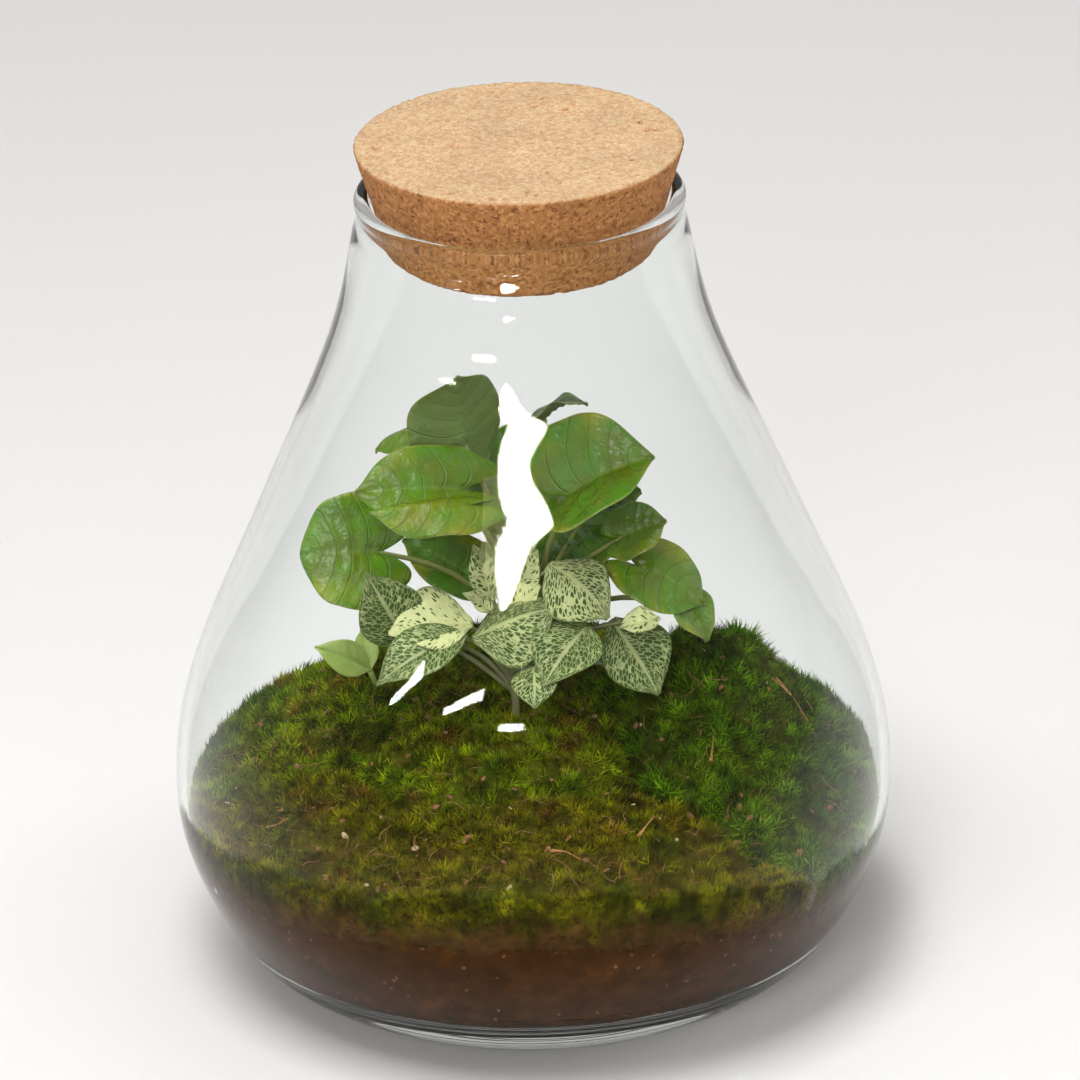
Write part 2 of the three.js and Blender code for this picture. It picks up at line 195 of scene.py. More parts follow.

# Stems are lines from the soil up. Each leaf has a base, a tip, the direction that its upper face looks
# in, width, fold, arch and shade. The shade sets how young and pale a leaf is, and also paints light and
# shade: paler where light shines through a leaf, darker for leaves deep in the plant. A positive fold
# lifts both halves from the midrib, and a negative one drops them.
GLOSSY_STEM = [(0, 22, 66), (0, 22, 80), (0, 22, 94), (-1, 20, 108)]
GLOSSY_STEM_RADIUS = 2.2
GLOSSY_STALK_RADIUS = 1.1
GLOSSY_LEAVES = [
    ((-21, 14, 181), (-23, 12, 210), (-0.45, 0.85, 0.1), 38, 18, 2, 0.55),
    ((-30, 24, 176), (-53, 24, 177), (0, -0.15, 1), 16, -15, 8, 0.6),
    ((-22, 5, 171), (-59, -4, 175), (0.1, -0.75, 0.65), 29, 8, 3, 0.45),
    ((-20, -7, 171), (-54, -12, 171), (0, -0.35, 0.9), 24, -35, 2, 0.85),
    ((-51, 8, 147), (-79, 3, 149), (-0.1, -0.85, 0.5), 42, 8, 4, 0.35),
    ((-20, 20, 131), (-44, 22, 145), (0.1, -0.6, 0.75), 25, 10, 2, 0.1),
    ((14, -4, 171.5), (44, -10, 188), (0, -0.61, 0.79), 46, 30, 4, 0.45),
    ((6, 26, 186), (22, 26, 192), (0, 0.3, 1), 22, 10, 3, 0.1),
    ((32, 8, 150), (48, 4, 158), (0.1, -0.7, 0.7), 20, 10, 2, 0.3),
    ((22, 24, 154), (40, 24, 160), (0, -0.5, 0.85), 20, 10, 2, 0),
    ((37, 8, 140), (60, 2, 127), (0.25, -0.65, 0.7), 27, -8, 4, 0.4),
    ((50, 8, 127), (61, -2, 114), (0.7, -0.6, 0.3), 20, 10, 3, 0.4),
    ((11, 22, 136), (33, 24, 152), (0, -0.6, 0.8), 30, 10, 3, 0),
    ((-5, 26, 156), (-4, 32, 184), (0, -0.7, 0.7), 33, 15, 3, 0.1),
    ((-14, 38, 144), (-34, 62, 150), (-0.2, 0.5, 0.85), 30, 10, 5, 0.3),
    ((13, 38, 140), (38, 60, 144), (0.2, 0.5, 0.85), 30, 10, 5, 0.4),
    ((2, 42, 123), (6, 70, 115), (0, 0.3, 0.95), 28, 8, 5, 0.3),
]

NET_STEM = [(-6, 2, 66), (-6, 2, 80), (-6, 1, 94), (-11, -2, 122)]
NET_STEM_RADIUS = 1.5
NET_STALK_RADIUS = 0.9
NET_LEAVES = [
    ((-43, -6, 118), (-56, -8, 146), (0.2, -0.9, 0.3), 24, 10, 2, 0.3),
    ((-20, -8, 126), (-49, -12, 125), (0, -0.5, 0.85), 27, 15, 3, 0.95),
    ((-22, -14, 125), (-53, -30, 114), (-0.1, -0.5, 0.85), 21, 10, 4, 0.35),
    ((-20, -15, 124), (9, -17, 136), (0, -0.45, 0.9), 34, -25, 2, 0.45),
    ((20, -14, 127), (4, -34, 114), (-0.1, -0.6, 0.8), 27, 18, 3, 0.35),
    ((1, -26, 118), (1, -37, 107), (0, -0.8, 0.5), 16, 12, 1, 0.4),
    ((-13, -2, 131), (-19, 3, 151), (0.3, -0.9, 0.2), 13, 20, 2, 0.75),
    ((-5, -2, 131), (3, 2, 149), (-0.3, -0.9, 0.3), 13, 20, 2, 0.8),
    ((-13, -4, 128), (-23, -4, 136), (0, -0.4, 0.9), 9, 20, 1, 0.9),
    ((-8, -5, 128), (4, -6, 139), (-0.1, -0.7, 0.7), 14, 15, 1, 1),
    ((7, -3, 146), (27, -13, 129), (0.35, -0.55, 0.75), 31, -15, 4, 0.6),
    ((28, -3, 124), (44, -12, 99), (0.3, -0.75, 0.5), 27, 10, 2, 0.35),
    ((-14, 2, 134), (-15, 1, 153), (0.2, -0.9, 0.3), 12, 15, 1, 0.4),
    ((45, -7, 126), (31, -10, 124), (0, -0.5, 0.85), 11, 12, 1, 0.9),
    ((-22, 4, 112), (-46, 10, 106), (-0.1, 0.3, 0.9), 20, 10, 3, 0.3),
    ((8, -2, 110), (28, 0, 103), (0.1, 0, 1), 18, 10, 3, 0.3),
]

SEEDLING_STEM = [(-55, 27, 72), (-55, 27, 79), (-55, 27, 86), (-57, 26, 92)]
SEEDLING_STEM_RADIUS = 1
SEEDLING_STALK_RADIUS = 0.7
SEEDLING_LEAVES = [
    ((-57, 26, 93), (-76, 23, 104), (-0.2, -0.7, 0.7), 13, 12, 2, 0.8),
    ((-57, 26, 93), (-60, 36, 104), (0, -0.3, 0.9), 9, 12, 1, 0.7),
]

# Camera and stage
IMAGE_SIZE = 1080
SENSOR = 36
FOCAL_PIXELS = 7400
CAMERA_DISTANCE = 2500
CAMERA_RISE = 21.65
CAMERA_PITCH = 24.74
CAMERA_ROLL = 1.36
CAMERA_SIDE = 4.1
FLOOR_REACH = 12
ROOM_COLOUR = (1, 0.98, 0.95, 1)
ROOM_BRIGHTNESS = 0.45
# Soft lamps: place and side length in metres, and power in watts
LAMP_AIM = (0, 0, 0.12)
LAMPS = {
    "overhead softbox": ((-0.3, -0.35, 1.9), 0.9, 28),
    "front softbox": ((-0.55, -2.5, 1.6), 0.9, 27),
    "side softbox": ((2.1, 0.4, 1.1), 1.1, 10),
}
# Bright cards whose reflections are the highlights on the front of the glass. They stand on a plane
# before it, and each is given by its corners across and up.
CARD_PLANE = -420
CARD_BRIGHTNESS = 380
CARDS = {
    "tall_card": [(-66, 294), (-36, 305), (-14, 316), (4, 323), (38, 328), (86, 333.5), (80, 337),
                  (60, 340), (24, 342), (-4, 344), (-4, 352), (-102, 354), (-102, 344), (-86, 339.5),
                  (-68, 336), (-68, 332.5), (-86, 330), (-102, 326), (-100, 314), (-92, 304), (-82, 294)],
    "left_card": [(-479, 295), (-329, 295), (-329, 301), (-479, 301)],
    "middle_card": [(-231, 266.5), (-119, 268.5), (-119, 273.5), (-231, 271.5)],
    "front_card": [(-80, 247.5), (-16, 247.5), (-16, 252.5), (-80, 252.5)],
}


# Meshes

def new_object(name, mesh):
    """A new object in the scene that holds a mesh, lamp or camera."""
    piece = bpy.data.objects.new(name, mesh)
    bpy.context.scene.collection.objects.link(piece)
    return piece


def object_from(name, places, faces, smooth=True):
    """An object from millimetre points and faces."""
    mesh = bpy.data.meshes.new(name)
    mesh.from_pydata([tuple(place) for place in np.asarray(places, float) * MM], [], faces)
    if smooth:
        mesh.shade_smooth()
    return new_object(name, mesh)


def keep_outward(piece):
    """Turns a closed mesh's faces outwards."""
    work = bmesh.new()
    work.from_mesh(piece.data)
    bmesh.ops.recalc_face_normals(work, faces=work.faces)
    work.to_mesh(piece.data)
    work.free()


def set_attribute(piece, name, values, kind="FLOAT"):
    """Stores one value or vector for each point of a piece."""
    attribute = piece.data.attributes.new(name, kind, "POINT")
    key = "vector" if kind == "FLOAT_VECTOR" else "value"
    attribute.data.foreach_set(key, np.asarray(values, np.float32).ravel())


def own_mesh(piece, name):
    """Turns a piece's modifiers into its plain mesh."""
    graph = bpy.context.evaluated_depsgraph_get()
    mesh = bpy.data.meshes.new_from_object(piece.evaluated_get(graph), depsgraph=graph)
    mesh.name = name
    piece.modifiers.clear()
    piece.data = mesh
    return piece


def finish_piece(piece, slot, *nodes):
    """Gives a finished piece its body and hides the CAD nodes that it replaces. The slot is not used."""
    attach(piece, BODY)
    if nodes:
        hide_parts(*nodes)
    return piece


def points_of(piece):
    """A piece's points in millimetres."""
    places = np.zeros(len(piece.data.vertices) * 3)
    piece.data.vertices.foreach_get("co", places)
    return places.reshape(-1, 3) / MM


def normals_of(piece):
    """The way out of the surface at each of a piece's points."""
    normals = np.zeros(len(piece.data.vertices) * 3)
    piece.data.vertex_normals.foreach_get("vector", normals)
    return normals.reshape(-1, 3)


def move_points(piece, places):
    """Moves a piece's points to places in millimetres."""
    piece.data.vertices.foreach_set("co", (places * MM).ravel())
    piece.data.update()


def smooth_line(points, steps):
    """Points along the smooth curve through the given ones, and the direction at each."""
    through = np.array(points, float)
    places, ways = [], []
    for share in np.linspace(0, 1, steps + 1):
        place = share * (len(through) - 1)
        at = min(int(place), len(through) - 2)
        w = place - at
        before = through[max(at - 1, 0)]
        start = through[at]
        end = through[at + 1]
        after = through[min(at + 2, len(through) - 1)]
        leave = (end - before) / 2
        arrive = (after - start) / 2
        cubic = 2 * start - 2 * end + leave + arrive
        square = -3 * start + 3 * end - 2 * leave - arrive
        places.append(cubic * w ** 3 + square * w ** 2 + leave * w + start)
        ways.append(3 * cubic * w ** 2 + 2 * square * w + leave)
    ways = np.array(ways)
    return np.array(places), ways / np.linalg.norm(ways, axis=1, keepdims=True)


def spun(name, profile, sides):
    """A closed solid of revolution from (radius, height) points that start and end on the axis."""
    places, faces = [(0, 0, profile[0][1])], []
    for radius, height in profile[1:-1]:
        for side in range(sides):
            angle = 2 * math.pi * side / sides
            places.append((radius * math.cos(angle), radius * math.sin(angle), height))
    places.append((0, 0, profile[-1][1]))
    rings = len(profile) - 2
    for side in range(sides):
        following = (side + 1) % sides
        faces.append((0, 1 + following, 1 + side))
        for ring in range(rings - 1):
            low = 1 + ring * sides
            high = low + sides
            faces.append((low + side, low + following, high + following, high + side))
        last = 1 + (rings - 1) * sides
        faces.append((last + side, last + following, len(places) - 1))
    return object_from(name, places, faces)


def tube(points, radius, sides=8, end_radius=None):
    """Places and faces of a closed round bar along a smooth line in millimetres."""
    line, ways = smooth_line(points, 4 * (len(points) - 1))
    end_radius = radius if end_radius is None else end_radius
    places, faces = [], []
    across = np.cross(ways[0], [0.31, 0.87, 0.38])
    for index, (place, way) in enumerate(zip(line, ways)):
        across = across - way * across.dot(way)
        across /= np.linalg.norm(across)
        other = np.cross(way, across)
        size = radius + (end_radius - radius) * index / (len(line) - 1)
        for side in range(sides):
            angle = 2 * math.pi * side / sides
            places.append(place + size * (across * math.cos(angle) + other * math.sin(angle)))
    for index in range(len(line) - 1):
        for side in range(sides):
            here = index * sides + side
            beside = index * sides + (side + 1) % sides
            faces.append((here, beside, beside + sides, here + sides))
    faces.append(tuple(reversed(range(sides))))
    last = (len(line) - 1) * sides
    faces.append(tuple(range(last, last + sides)))
    return places, faces


class Heap:
    """Collects the places and faces of several shapes for one mesh."""

    def __init__(self):
        self.places, self.faces = [], []

    def add(self, places, faces):
        shift = len(self.places)
        self.places += [tuple(place) for place in places]
        self.faces += [tuple(corner + shift for corner in face) for face in faces]


def joined(name, pieces):
    """One object from several, under the given name."""
    with bpy.context.temp_override(active_object=pieces[0], selected_editable_objects=pieces):
        bpy.ops.object.join()
    pieces[0].name = pieces[0].data.name = name
    return pieces[0]


def wave(place, length, seed=0):
    """Smooth noise from -1 to 1 at a place in millimetres, with hills about that long."""
    return noise.noise(Vector(place) / length + Vector((seed * 7.3, seed * 3.1, 0)))


# Materials

class Finish:
    """A node material with a Principled shader, and short ways to add its nodes."""

    def __init__(self, name, roughness, specular=0.5):
        self.material = bpy.data.materials.new(name)
        self.material.use_nodes = True
        self.tree = self.material.node_tree
        self.shader = self.tree.nodes["Principled BSDF"]
        self.set(self.shader, {"Roughness": roughness, "Specular IOR Level": specular})

    def set(self, node, values):
        for key, value in values.items():
            if isinstance(value, bpy.types.NodeSocket):
                self.tree.links.new(value, node.inputs[key])
            else:
                node.inputs[key].default_value = value

    def node(self, kind, inputs=None, **settings):
        made = self.tree.nodes.new(kind)
        for key, value in settings.items():
            setattr(made, key, value)
        self.set(made, inputs or {})
        return made

    def place(self, scale=(1, 1, 1)):
        """The place on the object, stretched by a scale."""
        source = self.node("ShaderNodeTexCoord").outputs["Object"]
        mapping = self.node("ShaderNodeMapping", {"Vector": source, "Scale": scale})
        return mapping.outputs["Vector"]

    def attribute(self, name):
        return self.node("ShaderNodeAttribute", attribute_name=name).outputs["Fac"]

    def uv(self, name):
        """The two shares of a UV map."""
        layer = self.node("ShaderNodeUVMap", uv_map=name).outputs["UV"]
        split = self.node("ShaderNodeSeparateXYZ", {"Vector": layer})
        return split.outputs["X"], split.outputs["Y"]

    def math(self, operation, first, second=0.0, third=0.0, clamp=False):
        made = self.node("ShaderNodeMath", operation=operation, use_clamp=clamp)
        self.set(made, {0: first, 1: second, 2: third})
        return made.outputs[0]

    def noise(self, vector, scale, detail=4.0, roughness=0.55, output="Fac"):
        inputs = {"Vector": vector, "Scale": scale, "Detail": detail, "Roughness": roughness}
        return self.node("ShaderNodeTexNoise", inputs).outputs[output]

    def cells(self, vector, scale, feature="F1", output="Distance", randomness=1.0):
        inputs = {"Vector": vector, "Scale": scale, "Randomness": randomness}
        return self.node("ShaderNodeTexVoronoi", inputs, feature=feature).outputs[output]

    def ramp(self, source, *stops):
        """A colour ramp: each stop is a place from 0 to 1 and a colour or a grey."""
        made = self.node("ShaderNodeValToRGB", {"Fac": source})
        elements = made.color_ramp.elements
        while len(elements) < len(stops):
            elements.new(0.5)
        for element, (place, colour) in zip(elements, stops):
            element.position = place
            element.color = (*colour, 1) if isinstance(colour, tuple) else (colour,) * 3 + (1,)
        return made.outputs["Color"]

    def mix(self, share, first, second, blend="MIX"):
        made = self.node("ShaderNodeMix", data_type="RGBA", blend_type=blend)
        for number, value in ((0, share), (6, first), (7, second)):
            socket = made.inputs[number]
            if isinstance(value, bpy.types.NodeSocket):
                self.tree.links.new(value, socket)
            else:
                socket.default_value = (*value, 1) if isinstance(value, tuple) else value
        return made.outputs[2]

    def shaded(self, colour, shade):
        """A colour made darker or lighter by a shade round 1."""
        return self.mix(1.0, colour, shade, blend="MULTIPLY")

    def paint(self, colour):
        self.set(self.shader, {"Base Color": colour})

    def bump(self, height, strength, distance):
        inputs = {"Height": height, "Strength": strength, "Distance": distance}
        self.set(self.shader, {"Normal": self.node("ShaderNodeBump", inputs).outputs["Normal"]})


def glass_finish():
    """Clear glass. Lamps shine through it, so that what it holds is lit without noise."""
    finish = Finish("clear_blown_glass", 0.0)
    finish.set(finish.shader, {"IOR": 1.38, "Transmission Weight": 1, "Specular Tint": (0.28, 0.25, 0.13, 1)})
    tone = finish.noise(finish.place(), 6, 1)
    finish.paint(finish.mix(tone, (0.955, 0.98, 0.972), (0.975, 0.99, 0.985)))
    through = finish.node("ShaderNodeBsdfTransparent", {"Color": (0.975, 0.985, 0.98, 1)})
    path = finish.node("ShaderNodeLightPath")
    mixed = finish.node("ShaderNodeMixShader", {"Fac": path.outputs["Is Shadow Ray"]})
    finish.tree.links.new(finish.shader.outputs["BSDF"], mixed.inputs[1])
    finish.tree.links.new(through.outputs["BSDF"], mixed.inputs[2])
    output = finish.tree.nodes["Material Output"]
    finish.tree.links.new(mixed.outputs["Shader"], output.inputs["Surface"])
    return finish.material


def cork_finish():
    """Pressed cork granules of different browns, with dark specks; the side is painted darker than the top,
    as painted shade.
    """
    finish = Finish("pressed_cork", 0.8, specular=0.2)
    place = finish.place()
    warp = finish.noise(place, 500, 2, output="Color")
    warp = finish.node("ShaderNodeVectorMath", {0: warp, "Scale": 0.0012}, operation="SCALE").outputs[0]
    bent = finish.node("ShaderNodeVectorMath", {0: place, 1: warp}, operation="ADD").outputs[0]
    grain = finish.cells(bent, 850, output="Color")
    split = finish.node("ShaderNodeSeparateColor", {"Color": grain})
    tone = split.outputs["Red"]
    rosy = finish.ramp(split.outputs["Green"], (0.86, 0.0), (0.9, 0.55))
    fine = finish.noise(place, 1500, 3, 0.6)
    top = finish.ramp(tone, (0.0, (0.46, 0.27, 0.13)), (0.2, (0.51, 0.335, 0.185)),
                      (0.6, (0.56, 0.385, 0.22)), (1.0, (0.61, 0.44, 0.265)))
    top = finish.mix(rosy, top, (0.5, 0.25, 0.12))
    # The side's darker, redder browns are painted shade, where less light falls than on the top.
    side = finish.ramp(tone, (0.0, (0.27, 0.1, 0.03)), (0.25, (0.38, 0.16, 0.05)),
                       (0.7, (0.46, 0.2, 0.066)), (1.0, (0.55, 0.27, 0.1)))
    colour = finish.mix(finish.attribute("shaded_side"), top, side)
    colour = finish.shaded(colour, finish.ramp(fine, (0.3, 0.78), (0.7, 1.15)))
    speck = finish.ramp(finish.noise(place, 620, 2), (0.59, 0.0), (0.67, 1.0))
    shown = finish.math("MULTIPLY_ADD", finish.attribute("shaded_side"), 0.7, 0.15)
    share = finish.math("MULTIPLY", speck, shown)
    colour = finish.mix(share, colour, (0.13, 0.05, 0.018))
    patch = finish.ramp(finish.noise(place, 40, 3), (0.3, 0.9), (0.7, 1.06))
    finish.paint(finish.shaded(colour, patch))
    finish.bump(finish.math("ADD", finish.noise(place, 900, 4), tone), 0.5, 0.0005)
    return finish.material


def soil_finish():
    """Dark damp potting soil with crumbs, fibres and a few pale specks."""
    finish = Finish("potting_soil", 0.7, specular=0)
    place = finish.place()
    colour = finish.ramp(finish.noise(place, 110, 6, 0.7), (0.3, (0.032, 0.01, 0.002)),
                         (0.5, (0.064, 0.021, 0.004)), (0.75, (0.115, 0.042, 0.009)))
    crumb = finish.node("ShaderNodeSeparateColor", {"Color": finish.cells(place, 900, output="Color")})
    speck = finish.ramp(crumb.outputs["Green"], (0.99, 0.0), (0.995, 0.7))
    colour = finish.mix(speck, colour, (0.24, 0.14, 0.07))
    streak = finish.noise(finish.place((1, 1, 2.6)), 26, 4)
    finish.paint(finish.shaded(colour, finish.ramp(streak, (0.3, 0.75), (0.7, 1.3))))
    finish.bump(finish.noise(place, 500, 6, 0.7), 0.8, 0.0015)
    return finish.material


def moss_finish(name, deep, low, high, dry):
    """Moss shoots: near black at the root as painted shade and light at the tip, in patches of green, painted
    sunlit yellow and brown.
    """
    finish = Finish(name, 0.6, specular=0.03)
    place = finish.place()
    patch = finish.noise(place, 42, 3, 0.6)
    # Patches of the sunlit tip colour are painted light.
    green = finish.mix(finish.ramp(patch, (0.36, 0.0), (0.62, 1.0)), low, high)
    # Larger patches darkened and lightened at random are painted shade and light between clumps.
    clump = finish.noise(place, 110, 3, 0.6)
    green = finish.shaded(green, finish.ramp(clump, (0.36, 0.35), (0.64, 1.7)))
    dry_share = finish.ramp(finish.noise(place, 65, 5, 0.7), (0.55, 0.0), (0.68, 0.85))
    green = finish.mix(dry_share, green, dry)
    tint = finish.ramp(finish.attribute("tint"), (0.0, 0.3), (0.6, 1.0), (1.0, 2.1))
    green = finish.shaded(green, tint)
    # Towards the root the colour goes to the near-black root colour, painted shade under the tips.
    colour = finish.mix(finish.ramp(finish.attribute("rise"), (0.0, 0.0), (0.75, 1.0)), deep, green)
    brown = finish.mix(finish.attribute("tint"), (0.04, 0.016, 0.004), (0.14, 0.062, 0.017))
    finish.paint(finish.mix(finish.attribute("dead"), colour, brown))
    return finish.material


def glossy_leaf_finish():
    """A waxy leaf with a pale midrib and side veins, and a lighter, duller underside."""
    finish = Finish("waxy_heart_leaf", 0.3, specular=0.75)
    along, across = finish.uv("leaf")
    away = finish.math("ABSOLUTE", across)
    cloud = finish.noise(finish.place(), 90, 4)
    shade = finish.attribute("shade")
    # Each leaf's shade picks between dark old green and young olive; it also paints light and shade, paler
    # where light shines through a leaf and darker for leaves deep in the plant.
    young = finish.mix(shade, (0.028, 0.085, 0.002), (0.17, 0.2, 0.003))
    colour = finish.mix(finish.ramp(cloud, (0.4, 0.0), (0.65, 0.8)), young, (0.068, 0.2, 0.003))
    rim_patch = finish.ramp(finish.noise(finish.place(), 60, 2), (0.45, 0.0), (0.65, 1.0))
    rim_tone = finish.mix(rim_patch, (0.05, 0.18, 0.002), (0.26, 0.25, 0.006))
    colour = finish.mix(finish.ramp(away, (0.45, 0.0), (1.0, 0.75)), colour, rim_tone)
    slant = finish.math("MULTIPLY", away, -9.0)
    side = finish.math("SINE", finish.math("MULTIPLY_ADD", along, 36.0, slant))
    vein = finish.ramp(side, (0.93, 0.0), (1.0, 1.0))
    rib = finish.ramp(away, (0.0, 1.0), (0.07, 0.0))
    lines = finish.math("MAXIMUM", finish.math("MULTIPLY", vein, 0.1), finish.math("MULTIPLY", rib, 0.4))
    colour = finish.mix(lines, colour, (0.15, 0.22, 0.04))
    edge = finish.ramp(away, (0.94, 0.0), (1.0, 1.0))
    colour = finish.mix(finish.math("MULTIPLY", edge, 0.6), colour, (0.28, 0.28, 0.05))
    under = finish.attribute("under")
    finish.paint(finish.mix(finish.math("MULTIPLY", under, 0.7), colour, (0.1, 0.14, 0.03)))
    finish.set(finish.shader, {"Roughness": finish.ramp(under, (0.0, 0.24), (1.0, 0.6))})
    pucker = finish.noise(finish.place(), 190, 3)
    finish.bump(finish.math("ADD", pucker, finish.math("MULTIPLY", vein, -0.22)), 0.8, 0.0018)
    return finish.material


def net_leaf_finish():
    """A soft leaf with a pale net of veins round dark green islands, which are fewer on young leaves."""
    finish = Finish("net_veined_leaf", 0.5, specular=0.25)
    forward, sideways = finish.uv("size")
    across = finish.math("ABSOLUTE", finish.uv("leaf")[1])
    away = finish.math("ABSOLUTE", sideways)
    slanted = finish.math("SUBTRACT", forward, finish.math("MULTIPLY", away, 0.75))
    net_x = finish.math("MULTIPLY", slanted, 7.6)
    net_y = finish.math("MULTIPLY", sideways, 4.4)
    net_place = finish.node("ShaderNodeCombineXYZ", {"X": net_x, "Y": net_y}).outputs[0]
    islands = finish.cells(net_place, 1.0, feature="DISTANCE_TO_EDGE", randomness=0.75)
    # Each leaf's shade, which also carries painted light and shade, sets how pale and wide its net is.
    pale = finish.attribute("shade")
    reach = finish.math("MULTIPLY_ADD", finish.math("POWER", pale, 2.0), 0.2, 0.032)
    inside = finish.math("SUBTRACT", reach, islands)
    net = finish.math("MULTIPLY_ADD", inside, 9.0, 0.5, clamp=True)
    rib = finish.ramp(across, (0.03, 1.0), (0.09, 0.0))
    lines = finish.math("MAXIMUM", finish.ramp(net, (0.1, 0.0), (0.75, 1.0)), rib)
    soft = finish.noise(finish.place(), 120, 3)
    green = finish.mix(soft, (0.016, 0.045, 0.005), (0.05, 0.1, 0.01))
    cream = finish.mix(pale, (0.2, 0.23, 0.09), (0.58, 0.6, 0.28))
    cream = finish.shaded(cream, finish.ramp(soft, (0.3, 0.8), (0.7, 1.12)))
    colour = finish.mix(lines, green, cream)
    edge = finish.ramp(across, (0.93, 0.0), (0.99, 0.6))
    colour = finish.mix(edge, colour, (0.13, 0.2, 0.05))
    under = finish.math("MULTIPLY", finish.attribute("under"), 0.75)
    finish.paint(finish.mix(under, colour, (0.17, 0.23, 0.08)))
    finish.bump(lines, 0.4, 0.0004)
    return finish.material


def stalk_finish(name, low, high):
    """A soft plant skin with streaks along the stalk between two colours."""
    finish = Finish(name, 0.5)
    place = finish.place((1, 1, 0.25))
    finish.paint(finish.mix(finish.noise(place, 260, 3), low, high))
    finish.bump(finish.noise(place, 900, 3), 0.3, 0.0003)
    return finish.material


def litter_finish(name, dark, light):
    """Dry grainy bark or needle between two colours."""
    finish = Finish(name, 0.8)
    grain = finish.noise(finish.place(), 900, 5, 0.65)
    finish.paint(finish.mix(finish.ramp(grain, (0.35, 0.0), (0.65, 1.0)), dark, light))
    finish.bump(grain, 0.6, 0.0004)
    return finish.material


# The jar

def wall_line(inset):
    """Points up the jar's wall, that far in from its outer side."""
    places, ways = smooth_line(OUTER_WALL, WALL_STEPS)
    return np.column_stack([places[:, 0] - ways[:, 1] * inset, places[:, 1] + ways[:, 0] * inset])


INSIDE = wall_line(WALL)


def inside_radius(height):
    """The radius of the jar's inner wall at a height."""
    return np.interp(height, INSIDE[:, 1], INSIDE[:, 0])


def soil_height(x, y):
    """The soil's height at places given as arrays in millimetres."""
    r = np.maximum(np.hypot(x, y), 1e-6)
    edge = (np.where(x > 0, SOIL_RIGHT, SOIL_LEFT) * (x / r) ** 2
            + np.where(y > 0, SOIL_BACK, SOIL_FRONT) * (y / r) ** 2)
    height = edge + (SOIL_MIDDLE - edge) * (1 - np.minimum(1, r / SOIL_REACH) ** 2)
    for (heap_x, heap_y), rise, spread in SOIL_HEAPS:
        height = height + rise * np.exp(-((x - heap_x) ** 2 + (y - heap_y) ** 2) / (2 * spread ** 2))
    return height


def glass_push(place):
    """How far the blown wall stands out from a true round at a place."""
    return GLASS_WAVE * wave((place[0], place[1], place[2] * 0.6), GLASS_WAVE_LENGTH)


def wavy(height):
    """Whether the wall has its slow waves at a height."""
    return GLASS_WAVE_FROM < height < GLASS_WAVE_TO


def wet_line():
    """Close points on the jar's inner surface, and the way into the glass at each."""
    wall = [tuple(point) for point in INSIDE[::-1] if INNER_WALL_START < point[1] < WET_WALL_TOP]
    corners = np.array(wall + JAR_FLOOR)
    reach = np.concatenate([[0], np.cumsum(np.hypot(*np.diff(corners, axis=0).T))])
    steps = np.linspace(0, reach[-1], WET_LINE_POINTS)
    line = np.column_stack([np.interp(steps, reach, axis) for axis in corners.T])
    way = np.gradient(line, axis=0)
    out = np.column_stack([-way[:, 1], way[:, 0]])
    return line, out / np.linalg.norm(out, axis=1, keepdims=True)


def lay_on_glass(places, normals, depth=WET_DEPTH):
    """Moves the places that lie close to the jar's wall just into it, and says which they are."""
    line, out = wet_line()
    radius = np.hypot(places[:, 0], places[:, 1])
    wet = np.zeros(len(places), bool)
    for index, place in enumerate(places):
        gaps = np.hypot(line[:, 0] - radius[index], line[:, 1] - place[2])
        nearest = int(np.argmin(gaps))
        away, up = out[nearest]
        way = (away * place[:2] / radius[index]).tolist() + [up]
        reach = WET_SIDE_REACH if normals[index].dot(way) > WET_FACING else WET_REACH
        beyond = (radius[index] - line[nearest, 0]) * away + (place[2] - line[nearest, 1]) * up
        if (gaps[nearest] > reach and beyond < 0) or place[2] < WET_FROM:
            continue
        target = line[nearest] + out[nearest] * depth
        push = glass_push(place) if wavy(place[2]) else 0
        scale = (target[0] + push) / max(radius[index], 1e-6)
        places[index] = (place[0] * scale, place[1] * scale, target[1])
        wet[index] = True
    return wet


